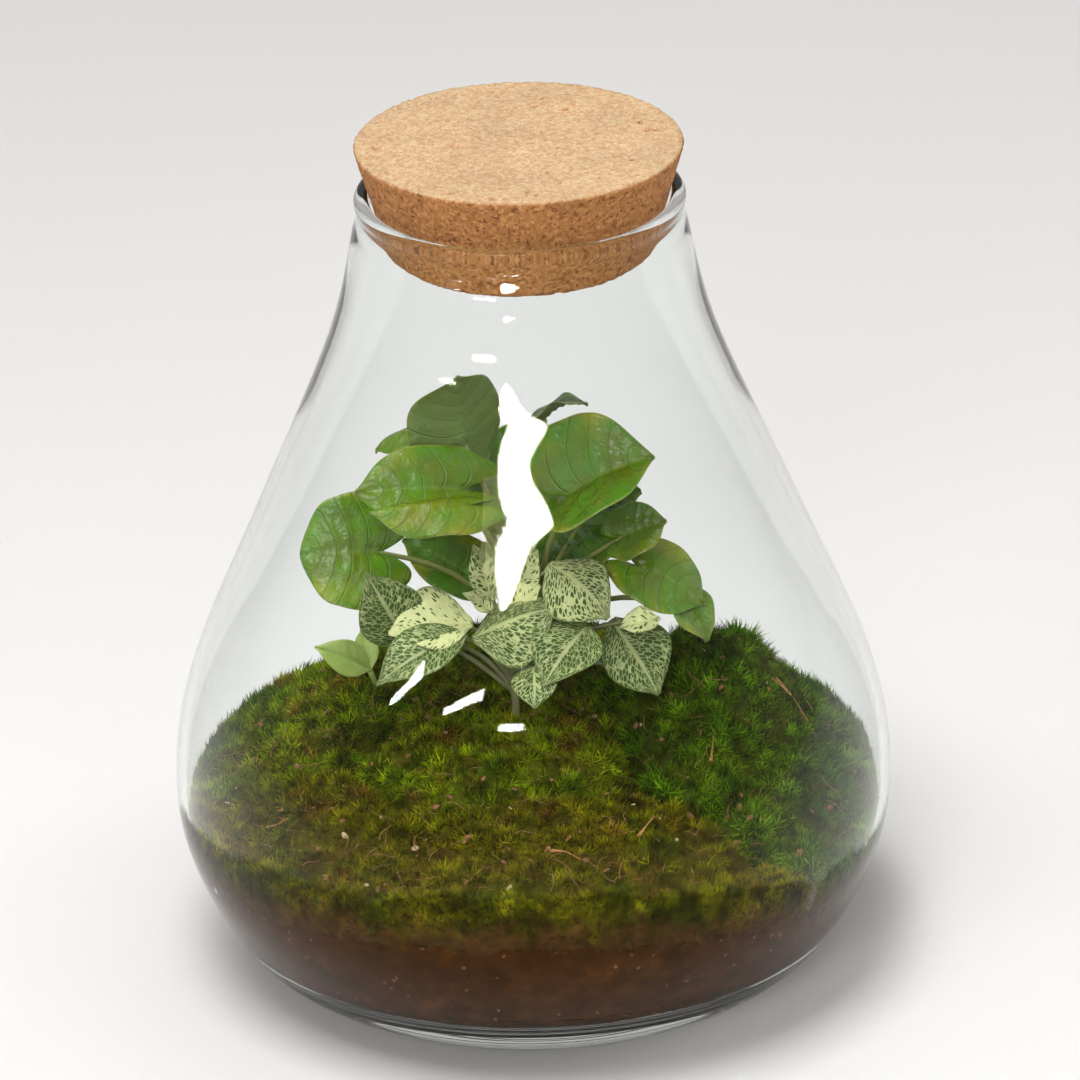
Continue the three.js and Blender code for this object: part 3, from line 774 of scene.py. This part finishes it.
def make_jar():
    """The jar as one hollow shell with foot ring, lip bead, thick base and a slightly uneven wall."""
    ring_inner = FOOT_RADIUS - FOOT_RING_WIDTH
    half_lip = (LIP_OUTER_RADIUS - LIP_INNER_RADIUS) / 2
    lip_middle = LIP_INNER_RADIUS + half_lip
    lip_top = LIP_HEIGHT - LIP_BEAD
    foot = [(0, FOOT_PUSH_UP), (30, FOOT_PUSH_UP), (ring_inner - 14, FOOT_PUSH_UP - 1),
            (ring_inner - 5, FOOT_PUSH_UP - 2.6), (ring_inner - 1.2, 0.6), (ring_inner, 0.05),
            (ring_inner + 1, 0), (FOOT_RADIUS - 3.4, 0), (FOOT_RADIUS - 2, 0.3), (FOOT_RADIUS - 0.8, 1),
            (FOOT_RADIUS, 2)]
    outer = [(radius + FOOT_FLARE * math.exp(-(height / FOOT_FLARE_HEIGHT) ** 2), height)
             for radius, height in wall_line(0) if height > FOOT_EDGE_HEIGHT]
    lip = [(LIP_OUTER_RADIUS - 0.9, 276.5), (LIP_OUTER_RADIUS - 0.9, 278), (LIP_OUTER_RADIUS - 0.3, 280)]
    lip += [(lip_middle + half_lip * math.cos(angle), lip_top + LIP_BEAD * math.sin(angle))
            for angle in np.linspace(0, math.pi, LIP_BEAD_STEPS)]
    lip += [(LIP_INNER_RADIUS + 0.5, 280.6), (LIP_INNER_RADIUS + 1.9, 279.2), (LIP_INNER_RADIUS + 3.1, 277.6),
            (LIP_INNER_RADIUS + 3.6, 275.5)]
    inner = []
    for radius, height in INSIDE[::-1]:
        if INNER_WALL_START < height < INNER_WALL_END:
            share = min(max((height - NECK_THINNING_FROM) / NECK_THINNING_OVER, 0), 1)
            inner.append((radius + NECK_THINNING * share, height))
    jar = spun("clear_glass_jar", foot + outer + lip + inner + JAR_FLOOR, JAR_SIDES)
    keep_outward(jar)
    places = points_of(jar)
    reach = np.hypot(places[:, 0], places[:, 1])
    for index, place in enumerate(places):
        if wavy(place[2]):
            places[index, :2] *= 1 + glass_push(place) / reach[index]
    move_points(jar, places)
    jar.data.materials.append(glass_finish())
    return finish_piece(jar, "clear_glass", "glass_jar")


def make_cork():
    """A tapered plug with fine granules, seams between them and small pits."""
    bottom = CORK_TOP - CORK_HEIGHT
    slope = (CORK_TOP_RADIUS - CORK_BOTTOM_RADIUS) / CORK_HEIGHT
    heights = np.linspace(bottom + 1, CORK_TOP - 1, CORK_SIDE_RINGS)
    side = [(CORK_BOTTOM_RADIUS + slope * (height - bottom) - CORK_SIDE_INSET, height) for height in heights]
    top = [(radius, CORK_TOP) for radius in np.linspace(CORK_TOP_RADIUS - 1.1, 1.5, CORK_TOP_RINGS)]
    under = [(radius, bottom) for radius in np.linspace(1.5, CORK_BOTTOM_RADIUS - 1, CORK_UNDER_RINGS)]
    profile = [(0, bottom)] + under + side + top + [(0, CORK_TOP)]
    cork = spun("cork_plug", profile, CORK_SIDES)
    keep_outward(cork)
    places, normals = points_of(cork), normals_of(cork)
    for index, place in enumerate(places):
        rough = 0.16 * wave(place, 1.7) + 0.1 * wave(place, 0.8, 1)
        near, _ = noise.voronoi(Vector(place) / CORK_GRAIN)
        pit = max(0.0, wave(place, 3.2, 2) - 0.47) * 2.4
        seam = near[1] - near[0] < CORK_SEAM
        sunk = CORK_SEAM_DEPTH * seam + min(pit, CORK_PIT_DEPTH)
        places[index] = place + normals[index] * (min(rough, CORK_ROUGH_MOST) - sunk)
    # Marks the side, which the finish paints darker as painted shade, and where more dark specks show.
    set_attribute(cork, "shaded_side", (places[:, 2] < CORK_TOP - 0.6).astype(float))
    move_points(cork, places)
    cork.data.materials.append(cork_finish())
    return finish_piece(cork, "cork", "cork_stopper")


# Soil and moss

def node_copy(node, name, voxel):
    """A fine closed copy of a CAD node's solid."""
    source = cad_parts[node]
    piece = new_object(name, source.data.copy())
    piece.data.materials.clear()
    work = bmesh.new()
    work.from_mesh(piece.data)
    bmesh.ops.remove_doubles(work, verts=work.verts, dist=1e-6)
    work.to_mesh(piece.data)
    work.free()
    remesh = piece.modifiers.new("even faces", "REMESH")
    remesh.mode = "VOXEL"
    remesh.voxel_size = voxel * MM
    own_mesh(piece, name)
    piece.data.shade_smooth()
    return piece


def glass_gap(places):
    """How far places are from the jar's inner wall."""
    return inside_radius(places[:, 2]) - np.hypot(places[:, 0], places[:, 1])


def make_soil():
    """The soil bed, which lies on the floor and the wall of the jar, with crumbs on its free faces."""
    soil = node_copy("soil", "soil_bed", SOIL_VOXEL)
    places, normals = points_of(soil), normals_of(soil)
    climb = np.clip(1 - glass_gap(places) / SOIL_CLIMB_REACH, 0, 1)
    places[:, 2] += SOIL_CLIMB * climb * (normals[:, 2] > 0)
    floor_line = np.array([SOIL_FLOOR_EDGE] + JAR_FLOOR)[::-1]
    floor_at = np.interp(np.hypot(places[:, 0], places[:, 1]), floor_line[:, 0], floor_line[:, 1])
    places[:, 2] = np.maximum(places[:, 2], floor_at + SOIL_FLOOR_GAP)
    wet = lay_on_glass(places, normals)
    for index, place in enumerate(places):
        crumb = 0.5 * wave(place, 3.2) + 0.6 * wave(place, 1.7, 1) + 0.5 * wave(place, 9, 2)
        if not wet[index]:
            places[index] = place + normals[index] * min(0.0, crumb - 0.5)
    move_points(soil, places)
    soil.data.materials.append(soil_finish())
    return finish_piece(soil, "soil", "soil")


def moss_shoot():
    """One tuft: thin pointed leaves that lean out from a common root, one unit tall."""
    draw = np.random.default_rng(SEED)
    places, faces, rise = [], [], []
    for leaf in range(SHOOT_LEAVES):
        turn = 2 * math.pi * (leaf + 0.3 * draw.random()) / SHOOT_LEAVES
        lean = 0.2 if leaf == 0 else 0.45 + 0.4 * draw.random()
        length = 1.0 if leaf == 0 else 0.65 + 0.3 * draw.random()
        way = np.array([math.cos(turn) * math.sin(lean), math.sin(turn) * math.sin(lean), math.cos(lean)])
        across = np.array([-math.sin(turn), math.cos(turn), 0])
        outward = np.cross(way, across)
        root = way * -0.05
        first = len(places)
        for corner in range(3):
            angle = 2 * math.pi * corner / 3
            rim = across * math.cos(angle) + outward * math.sin(angle) * 0.6
            places.append(root + SHOOT_LEAF_RADIUS * rim)
        places.append(way * length)
        rise += [0, 0, 0, 1]
        a, b, c, tip = range(first, first + 4)
        faces += [(a, c, b), (a, b, tip), (b, c, tip), (c, a, tip)]
    mesh = bpy.data.meshes.new("moss_shoot")
    mesh.from_pydata([tuple(place) for place in places], [], faces)
    shoot = new_object("moss_shoot", mesh)
    keep_outward(shoot)
    set_attribute(shoot, "rise", rise)
    shoot.hide_render = True
    return shoot


def flake():
    """One bark flake, about one unit across."""
    noise.seed_set(SEED)
    work = bmesh.new()
    bmesh.ops.create_icosphere(work, subdivisions=1, radius=0.5)
    for vertex in work.verts:
        vertex.co.z *= 0.3
        vertex.co.x *= 1.5
        vertex.co += 0.16 * noise.noise_vector(vertex.co * 3)
    mesh = bpy.data.meshes.new("bark_flake")
    work.to_mesh(mesh)
    work.free()
    piece = new_object("bark_flake", mesh)
    piece.hide_render = True
    return piece


def brown_fibre():
    """One thin bent fibre that lies down, one unit long."""
    places, faces = tube(FIBRE_LINE, FIBRE_RADIUS, 4, FIBRE_END_RADIUS)
    piece = object_from("brown_fibre", np.array(places) / MM, faces)
    keep_outward(piece)
    piece.hide_render = True
    return piece


def sowing_tree():
    """Sets an object on random points of the ground, turned along the ground's 'grow' direction."""
    tree = bpy.data.node_groups.new("sow on ground", "GeometryNodeTree")
    face = tree.interface
    face.new_socket("Ground", in_out="INPUT", socket_type="NodeSocketGeometry")
    for name, kind in (("Item", "Object"), ("Density", "Float"), ("Size", "Float"), ("Spread", "Float"),
                       ("Seed", "Int"), ("Finish", "Material")):
        face.new_socket(name, in_out="INPUT", socket_type="NodeSocket" + kind)
    face.new_socket("Geometry", in_out="OUTPUT", socket_type="NodeSocketGeometry")

    def node(kind, inputs=None, **settings):
        made = tree.nodes.new(kind)
        for key, value in settings.items():
            setattr(made, key, value)
        for key, value in (inputs or {}).items():
            if isinstance(value, bpy.types.NodeSocket):
                tree.links.new(value, made.inputs[key])
            else:
                made.inputs[key].default_value = value
        return made

    def named(name, kind="FLOAT"):
        return node("GeometryNodeInputNamedAttribute", {"Name": name}, data_type=kind).outputs["Attribute"]

    def multiply(first, second):
        return node("ShaderNodeMath", {0: first, 1: second}, operation="MULTIPLY").outputs[0]

    given = node("NodeGroupInput").outputs
    points = node("GeometryNodeDistributePointsOnFaces",
                  {"Mesh": given["Ground"], "Density": multiply(given["Density"], named("lush")),
                   "Seed": given["Seed"]})
    jitter = node("FunctionNodeRandomValue", {0: (-1, -1, -1), 1: (1, 1, 1), "Seed": given["Seed"]},
                  data_type="FLOAT_VECTOR").outputs[0]
    reach = multiply(given["Spread"], named("loose"))
    scaled = node("ShaderNodeVectorMath", {0: jitter, "Scale": reach}, operation="SCALE").outputs[0]
    grow = named("grow", "FLOAT_VECTOR")
    way = node("ShaderNodeVectorMath", {0: grow, 1: scaled}, operation="ADD").outputs[0]
    upright = node("FunctionNodeAlignRotationToVector", {"Vector": way}, axis="Z").outputs[0]
    spin = node("FunctionNodeRandomValue", {2: 0.0, 3: 2 * math.pi}, data_type="FLOAT").outputs[1]
    turn = node("FunctionNodeAxisAngleToRotation", {"Axis": (0, 0, 1), "Angle": spin}).outputs[0]
    turned = node("FunctionNodeRotateRotation", {"Rotation": upright, "Rotate By": turn},
                  rotation_space="LOCAL").outputs[0]
    vary = node("FunctionNodeRandomValue", {2: 0.6, 3: 1.3, "Seed": 3}, data_type="FLOAT").outputs[1]
    size = multiply(multiply(given["Size"], named("tall")), vary)
    item = node("GeometryNodeObjectInfo", {"Object": given["Item"]}).outputs["Geometry"]
    placed = node("GeometryNodeInstanceOnPoints",
                  {"Points": points.outputs["Points"], "Instance": item, "Rotation": turned, "Scale": size})
    tint = node("FunctionNodeRandomValue", {"Seed": 5}, data_type="FLOAT").outputs[1]
    stored = node("GeometryNodeStoreNamedAttribute",
                  {"Geometry": placed.outputs[0], "Name": "tint", "Value": tint},
                  data_type="FLOAT", domain="INSTANCE")
    real = node("GeometryNodeRealizeInstances", {"Geometry": stored.outputs[0]})
    done = node("GeometryNodeSetMaterial", {"Geometry": real.outputs[0], "Material": given["Finish"]})
    end = node("NodeGroupOutput")
    tree.links.new(done.outputs[0], end.inputs[0])
    return tree


def sown(name, ground, tree, **inputs):
    """A plain mesh of what the sowing tree grows on a ground."""
    piece = new_object(name, ground.data.copy())
    grow = piece.modifiers.new("sow", "NODES")
    grow.node_group = tree
    sockets = {item.name: item.identifier for item in tree.interface.items_tree if item.in_out == "INPUT"}
    for key, value in inputs.items():
        grow[sockets[key.capitalize()]] = value
    return own_mesh(piece, name)


def cushion_body(node, look):
    """The clumpy body of one cushion, which of its places lie wet on the glass, and its seams."""
    ground = node_copy(node, node + "_body", MOSS_VOXEL)
    places, normals = points_of(ground), normals_of(ground)
    climb = np.clip(1 - glass_gap(places) / MOSS_CLIMB_REACH, 0, 1) ** 1.5
    above = places[:, 2] - soil_height(places[:, 0], places[:, 1])
    places[:, 2] += MOSS_CLIMB * climb * np.clip(above / 6, 0, 1)
    around = np.column_stack([-places[:, 1], places[:, 0], np.zeros(len(places))])
    around /= np.linalg.norm(around, axis=1, keepdims=True)
    press = np.clip(1 - glass_gap(places) / MOSS_PRESS_REACH, 0, 1)
    press *= np.einsum("ij,ij->i", normals, around)
    places += around * (MOSS_PRESS * press)[:, None]
    rooted = np.clip(1 - above / 8, 0, 1) * np.clip(1 - glass_gap(places) / 6, 0, 1)
    for index, place in enumerate(places):
        if normals[index][2] < -0.3:
            place[2] -= MOSS_SINK
        flat = place * (1, 1, 0.3)
        place[2] -= rooted[index] * sum(rise * wave(flat, length, seed) for rise, length, seed in RAGGED_EDGE)
    wet = lay_on_glass(places, normals, WET_MOSS_DEPTH)
    seam = np.zeros(len(places))
    for index, place in enumerate(places):
        near, _ = noise.voronoi(Vector(place) / look["clump"])
        seam[index] = min(1.6 * near[0], 1) ** 2 * (0.7 + 0.6 * wave(place, 20, 6))
        if wet[index]:
            continue
        dome = look["dome"] * (0.6 - 2.4 * near[0] ** 2)
        lump = dome + 1.6 * wave(place, 24, 1) - 1.0
        places[index] = place + normals[index] * lump
    move_points(ground, places)
    return ground, wet, seam


def mark_growth(ground, look, wet, seam):
    """Marks where and how the shoots of a cushion grow: outwards, and flat along the glass where wet."""
    places, normals = points_of(ground), normals_of(ground)
    outward = places.copy()
    outward[:, 2] = 0
    outward /= np.linalg.norm(outward, axis=1, keepdims=True)
    near = np.clip(1 - glass_gap(places) / WALL_REACH, 0, 1)
    grow = normals + np.array([0, 0, 0.35])
    towards_glass = np.maximum(np.einsum("ij,ij->i", grow, outward), 0)
    grow -= outward * (towards_glass * near * 1.15)[:, None]
    draw = np.random.default_rng(SEED)
    sideways = np.cross(outward, [0, 0, 1]) * draw.uniform(-1.3, 1.3, len(places))[:, None]
    above = places[:, 2] - soil_height(places[:, 0], places[:, 1])
    lift = np.where(above < 6, draw.uniform(-0.9, 0.6, len(places)), 0.7)
    upward = np.column_stack([np.zeros(len(places)), np.zeros(len(places)), lift])
    grow[wet] = (upward + sideways - outward * 0.05)[wet]
    grow /= np.linalg.norm(grow, axis=1, keepdims=True)
    facing_up = np.clip((normals[:, 2] + 0.1) / 0.25, 0, 1)
    mottle = np.array([wave(place, 4, 8) + 0.7 * wave(place, 9, 9) for place in places])
    root_show = np.clip(1.5 + 0.7 * mottle - above / look["rooty"], 0, 1)
    set_attribute(ground, "grow", grow, "FLOAT_VECTOR")
    set_attribute(ground, "lush", np.where(wet, 1.2, facing_up * (1 - 0.6 * seam)))
    set_attribute(ground, "loose", np.where(wet, 0.1, 1 - 0.8 * near))
    set_attribute(ground, "tall", np.where(wet, 0.85, (1 - 0.35 * near) * (1.1 - 0.5 * seam)))
    # The bare body under the shoots takes mostly the root colour, painted shade.
    set_attribute(ground, "rise", np.where(wet, 0.5 + 0.4 * mottle, 0.2))
    set_attribute(ground, "tint", np.where(wet, 0.45 + 0.5 * mottle, 0.4))
    set_attribute(ground, "dead", np.where(wet, root_show, 0.2 * seam))


def make_moss(tree):
    """The six cushions. Returns a bare copy of each cushion's body, for the litter to lie on."""
    shoot = moss_shoot()
    finishes = {kind: moss_finish(kind + "_moss", *colours) for kind, colours in MOSS_KINDS.items()}
    surfaces = {}
    for number, (node, look) in enumerate(MOSS_NODES.items()):
        finish = finishes[look["kind"]]
        ground, wet, seam = cushion_body(node, look)
        mark_growth(ground, look, wet, seam)
        ground.data.materials.append(finish)
        shoots = sown(node + "_shoots", ground, tree, item=shoot, density=look["lush"] / MM ** 2,
                      size=look["height"] * MM, spread=MOSS_SPREAD, seed=number, finish=finish)
        surfaces[node] = new_object(node + "_surface", ground.data.copy())
        cushion = joined(node + "_cushion", [ground, shoots])
        finish_piece(cushion, MOSS_SLOTS[look["kind"]], node)
    bpy.data.objects.remove(shoot)
    return surfaces


# Litter on the moss

def ground_finder(surfaces):
    """Gives a function that says how high the moss stands at a place."""
    graph = bpy.context.evaluated_depsgraph_get()
    trees = [BVHTree.FromObject(surface, graph) for surface in surfaces.values()]

    def height_at(x, y):
        hits = [tree.ray_cast(Vector((x, y, 200)) * MM, Vector((0, 0, -1)))[0] for tree in trees]
        return max((hit.z / MM for hit in hits if hit), default=60.0)
    return height_at


def make_needles(height_at):
    """Pairs of dry needles that lie on the moss."""
    heap = Heap()
    for (x, y), length, turn in NEEDLES:
        way = np.array([math.cos(math.radians(turn)), math.sin(math.radians(turn))])
        for fan in (-NEEDLE_FAN, NEEDLE_FAN):
            bend = np.array([-way[1], way[0]]) * fan * length
            spots = [np.array([x, y]) + way * length * share + bend * 4 * share * (share - 0.2) * 0.5
                     for share in (-0.5, 0, 0.5)]
            line = [(*spot, height_at(*spot) + NEEDLE_LIFT) for spot in spots]
            heap.add(*tube(line, NEEDLE_RADIUS, 6, NEEDLE_TIP_RADIUS))
    needles = object_from("pine_needles", heap.places, heap.faces)
    keep_outward(needles)
    needles.data.materials.append(litter_finish("dry_needle", (0.16, 0.07, 0.02), (0.42, 0.2, 0.05)))
    finish_piece(needles, "soil")


def make_litter(surfaces, tree):
    """Bark, pale bits and fibres, sown on the flat places of the moss away from the glass."""
    items = {"flake": flake(), "fibre": brown_fibre()}
    for name, (item, density, size, dark, light, seed) in LITTER.items():
        finish = litter_finish(name, dark, light)
        parts = []
        for number, (node, surface) in enumerate(surfaces.items()):
            places, normals = points_of(surface), normals_of(surface)
            flat = (normals[:, 2] > LITTER_FLATNESS) & (glass_gap(places) > LITTER_GLASS_GAP)
            ground = new_object(node + "_litter", surface.data.copy())
            move_points(ground, places + normals * LITTER_LIFT)
            ground.data.attributes["lush"].data.foreach_set("value", flat.astype(np.float32))
            parts.append(sown(f"{name}_{number}", ground, tree, item=items[item],
                              density=density / MM ** 2, size=size * MM, spread=LITTER_SPREAD,
                              seed=seed + number, finish=finish))
            bpy.data.objects.remove(ground)
        finish_piece(joined(name, parts), "soil")
    for spare in (*items.values(), *surfaces.values()):
        bpy.data.objects.remove(spare)


# Plants

def leaf_shape(leaf, outline, lobe, quilt, ruffle):
    """Places, faces, and for each place its share along, share across, size and side of one thin leaf."""
    base, tip, face, width, fold, arch, _ = leaf
    start = np.array(base, float)
    along = np.subtract(tip, base).astype(float)
    length = np.linalg.norm(along)
    along /= length
    up = np.array(face, float)
    up -= along * up.dot(along)
    up /= np.linalg.norm(up)
    side = np.cross(along, up)
    lift = math.radians(fold)
    blunt = min(max(width / length - BROAD_LEAF, 0), BLUNT_MOST)
    corners = [*outline[:-2], outline[-2] + 0.5 * blunt, outline[-1] + 1.3 * blunt]
    shares_along = np.linspace(0, 1, OUTLINE_STEPS + 1)
    outline_line = smooth_line([(value, 0) for value in corners], OUTLINE_STEPS)[0][:, 0]
    outline_line *= np.sqrt(1 - shares_along ** 12 * min(blunt * 20, 1) * 0.98)
    phase = sum(base) % 7

    def place_at(share, across):
        at = share * OUTLINE_STEPS
        half = np.interp(at, range(OUTLINE_STEPS + 1), outline_line) * width / 2 * across
        back = lobe * (1 - (1 - abs(across)) ** 2.2) * (1 - 0.3 * abs(across) ** 3) * (1 - share) ** 2
        pillow = quilt * abs(math.sin(math.pi * (share * 6 - abs(across) * 1.4))) * (1 - abs(across) ** 3)
        groove = -LEAF_GROOVE * math.exp(-(across / 0.12) ** 2)
        edge = ruffle * math.sin(share * 11 + phase + (1.5 if across > 0 else 0)) * abs(across) ** 3
        rise = abs(half) * math.sin(lift) + 4 * arch * share * (1 - share) + pillow + groove + edge
        return start + along * length * (share - back) + side * half * math.cos(lift) + up * rise

    places, marks = [], []
    shares = np.linspace(0, 1, LEAF_ROWS + 1)
    acrosses = np.linspace(-1, 1, LEAF_COLUMNS + 1)
    grid = np.array([[place_at(share, across) for across in acrosses] for share in shares])
    forward, outward = np.gradient(grid, axis=0), np.gradient(grid, axis=1)
    normals = np.cross(outward, forward)
    normals /= np.linalg.norm(normals, axis=2, keepdims=True)
    for under in (0, 1):
        for row, share in enumerate(shares):
            for column, across in enumerate(acrosses):
                thick = LEAF_THICKNESS * (1 - 0.6 * abs(across) ** 4)
                places.append(grid[row, column] - normals[row, column] * thick * (under - 0.1))
                marks.append((share, across, share * length / 10, across * width / 20, under))
    line = LEAF_COLUMNS + 1
    below = line * (LEAF_ROWS + 1)
    faces = []
    for row in range(LEAF_ROWS):
        for column in range(LEAF_COLUMNS):
            at = row * line + column
            faces.append((at, at + 1, at + line + 1, at + line))
            faces.append((below + at, below + at + line, below + at + line + 1, below + at + 1))
        left = row * line
        right = left + LEAF_COLUMNS
        faces.append((left, left + line, below + left + line, below + left))
        faces.append((right + line, right, below + right, below + right + line))
    for column in range(LEAF_COLUMNS):
        last = LEAF_ROWS * line + column
        faces.append((column + 1, column, below + column, below + column + 1))
        faces.append((last, last + 1, below + last + 1, below + last))
    return places, faces, marks


def make_leaves(name, leaves, shape, finish):
    """All leaves of one plant in one piece, each with its own UV maps and shade."""
    heap, marks, shades = Heap(), [], []
    for leaf in leaves:
        places, faces, mark = leaf_shape(leaf, **shape)
        heap.add(places, faces)
        marks += mark
        shades += [leaf[-1]] * len(places)
    piece = object_from(name, heap.places, heap.faces)
    keep_outward(piece)
    marks = np.array(marks)
    corners = np.zeros(len(piece.data.loops), int)
    piece.data.loops.foreach_get("vertex_index", corners)
    for layer_name, columns in (("leaf", (0, 1)), ("size", (2, 3))):
        layer = piece.data.uv_layers.new(name=layer_name)
        layer.data.foreach_set("uv", marks[corners][:, columns].astype(np.float32).ravel())
    set_attribute(piece, "under", marks[:, 4])
    set_attribute(piece, "shade", shades)
    piece.data.materials.append(finish)
    return piece


def make_stalks(name, stem, stem_radius, leaves, radius, finish):
    """One plant's stem, and a bent stalk from it to each leaf."""
    heap = Heap()
    line = smooth_line(stem, STEM_STEPS)[0]
    heap.add(*tube(stem, stem_radius, 12, stem_radius * 0.8))
    for leaf in leaves:
        base, tip = np.array(leaf[0], float), np.array(leaf[1], float)
        height = min(max((base[2] - stem[3][2]) / 60, 0), 0.3)
        root = line[round(STEM_STEPS * (0.68 + height))]
        end = base + 0.06 * (tip - base)
        bend = (root + end) / 2 + np.array([0, 0, 0.12 * np.linalg.norm(end - root)])
        heap.add(*tube([root, bend, end], radius, 8, radius * 0.75))
    piece = object_from(name, heap.places, heap.faces)
    keep_outward(piece)
    piece.data.materials.append(finish)
    return piece


def make_plants():
    """Three plants, each with one piece of leaves and one of stem and stalks."""
    olive = stalk_finish("olive_stalk", (0.13, 0.17, 0.03), (0.26, 0.26, 0.07))
    brown = stalk_finish("downy_stalk", (0.12, 0.13, 0.05), (0.25, 0.24, 0.12))
    young = stalk_finish("young_leaf", (0.18, 0.28, 0.04), (0.32, 0.4, 0.1))

    leaves = make_leaves("glossy_leaves", GLOSSY_LEAVES, HEART, glossy_leaf_finish())
    finish_piece(leaves, "glossy_leaf", "glossy_leaf_plant")
    stalks = make_stalks("glossy_stalks", GLOSSY_STEM, GLOSSY_STEM_RADIUS, GLOSSY_LEAVES,
                         GLOSSY_STALK_RADIUS, olive)
    finish_piece(stalks, "glossy_leaf")

    leaves = make_leaves("net_leaves", NET_LEAVES, OVAL, net_leaf_finish())
    finish_piece(leaves, "net_leaf", "net_leaf_plant")
    stalks = make_stalks("net_stalks", NET_STEM, NET_STEM_RADIUS, NET_LEAVES, NET_STALK_RADIUS, brown)
    finish_piece(stalks, "net_leaf")

    leaves = make_leaves("seedling_leaves", SEEDLING_LEAVES, SMALL_OVAL, young)
    finish_piece(leaves, "young_leaf", "seedling")
    stalks = make_stalks("seedling_stalk", SEEDLING_STEM, SEEDLING_STEM_RADIUS, SEEDLING_LEAVES,
                         SEEDLING_STALK_RADIUS, young)
    finish_piece(stalks, "young_leaf")


# Stage

def make_camera():
    """A camera at the photograph's angle."""
    rise = math.radians(CAMERA_RISE)
    back = CAMERA_DISTANCE * math.cos(rise)
    up = CAMERA_DISTANCE * math.sin(rise)
    camera = bpy.data.cameras.new("camera")
    camera.sensor_width = SENSOR
    camera.lens = FOCAL_PIXELS * SENSOR / IMAGE_SIZE
    holder = new_object("camera", camera)
    holder.location = Vector((CAMERA_SIDE, -back, CORK_TOP + up)) * MM
    pitch = Matrix.Rotation(math.radians(90 - CAMERA_PITCH), 3, "X")
    roll = Matrix.Rotation(math.radians(-CAMERA_ROLL), 3, "Z")
    holder.rotation_euler = (pitch @ roll).to_euler()
    bpy.context.scene.camera = holder


def add_lamp(name, place, size, power):
    """A square soft lamp that looks at the middle of the jar."""
    lamp = bpy.data.lights.new(name, "AREA")
    lamp.size = size
    lamp.energy = power
    holder = new_object(name, lamp)
    turn = (Vector(LAMP_AIM) - Vector(place)).to_track_quat("-Z", "Y").to_matrix()
    holder.matrix_world = Matrix.Translation(place) @ turn.to_4x4()
    holder.visible_camera = holder.visible_transmission = False


def add_cards():
    """Cards that only reflections show."""
    for name, corners in CARDS.items():
        places = [(across, CARD_PLANE, up) for across, up in corners]
        card = object_from(name, places, [tuple(range(len(corners)))], smooth=False)
        finish = Finish(name, 1.0)
        patch = finish.noise(finish.place(), 8, 2)
        glow = finish.ramp(patch, (0.0, (0.46, 0.52, 0.9)), (1.0, (0.5, 0.56, 1.0)))
        finish.set(finish.shader, {"Base Color": (0, 0, 0, 1), "Emission Color": glow})
        finish.shader.inputs["Emission Strength"].default_value = CARD_BRIGHTNESS
        finish.material.cycles.emission_sampling = "NONE"
        card.data.materials.append(finish.material)
        card.visible_camera = card.visible_diffuse = False
        card.visible_transmission = card.visible_shadow = False


def make_stage():
    """A pale floor, an even pale room and three soft lamps."""
    corners = [(-FLOOR_REACH, -FLOOR_REACH, 0), (FLOOR_REACH, -FLOOR_REACH, 0),
               (FLOOR_REACH, FLOOR_REACH, 0), (-FLOOR_REACH, FLOOR_REACH, 0)]
    mesh = bpy.data.meshes.new("floor")
    mesh.from_pydata(corners, [], [(0, 1, 2, 3)])
    floor = new_object("floor", mesh)
    finish = Finish("pale_floor", 0.55)
    tone = finish.noise(finish.place(), 3, 3)
    finish.paint(finish.mix(tone, (0.74, 0.73, 0.72), (0.78, 0.77, 0.76)))
    floor.data.materials.append(finish.material)

    world = bpy.data.worlds.new("soft room")
    world.use_nodes = True
    light = world.node_tree.nodes["Background"]
    light.inputs["Color"].default_value = ROOM_COLOUR
    light.inputs["Strength"].default_value = ROOM_BRIGHTNESS
    bpy.context.scene.world = world
    bpy.context.scene.view_settings.view_transform = "Standard"
    for name, (place, size, power) in LAMPS.items():
        add_lamp(name, place, size, power)


make_camera()
make_stage()
add_cards()
make_jar()
make_cork()
make_soil()
sowing = sowing_tree()
moss_surfaces = make_moss(sowing)
make_plants()
make_needles(ground_finder(moss_surfaces))
make_litter(moss_surfaces, sowing)
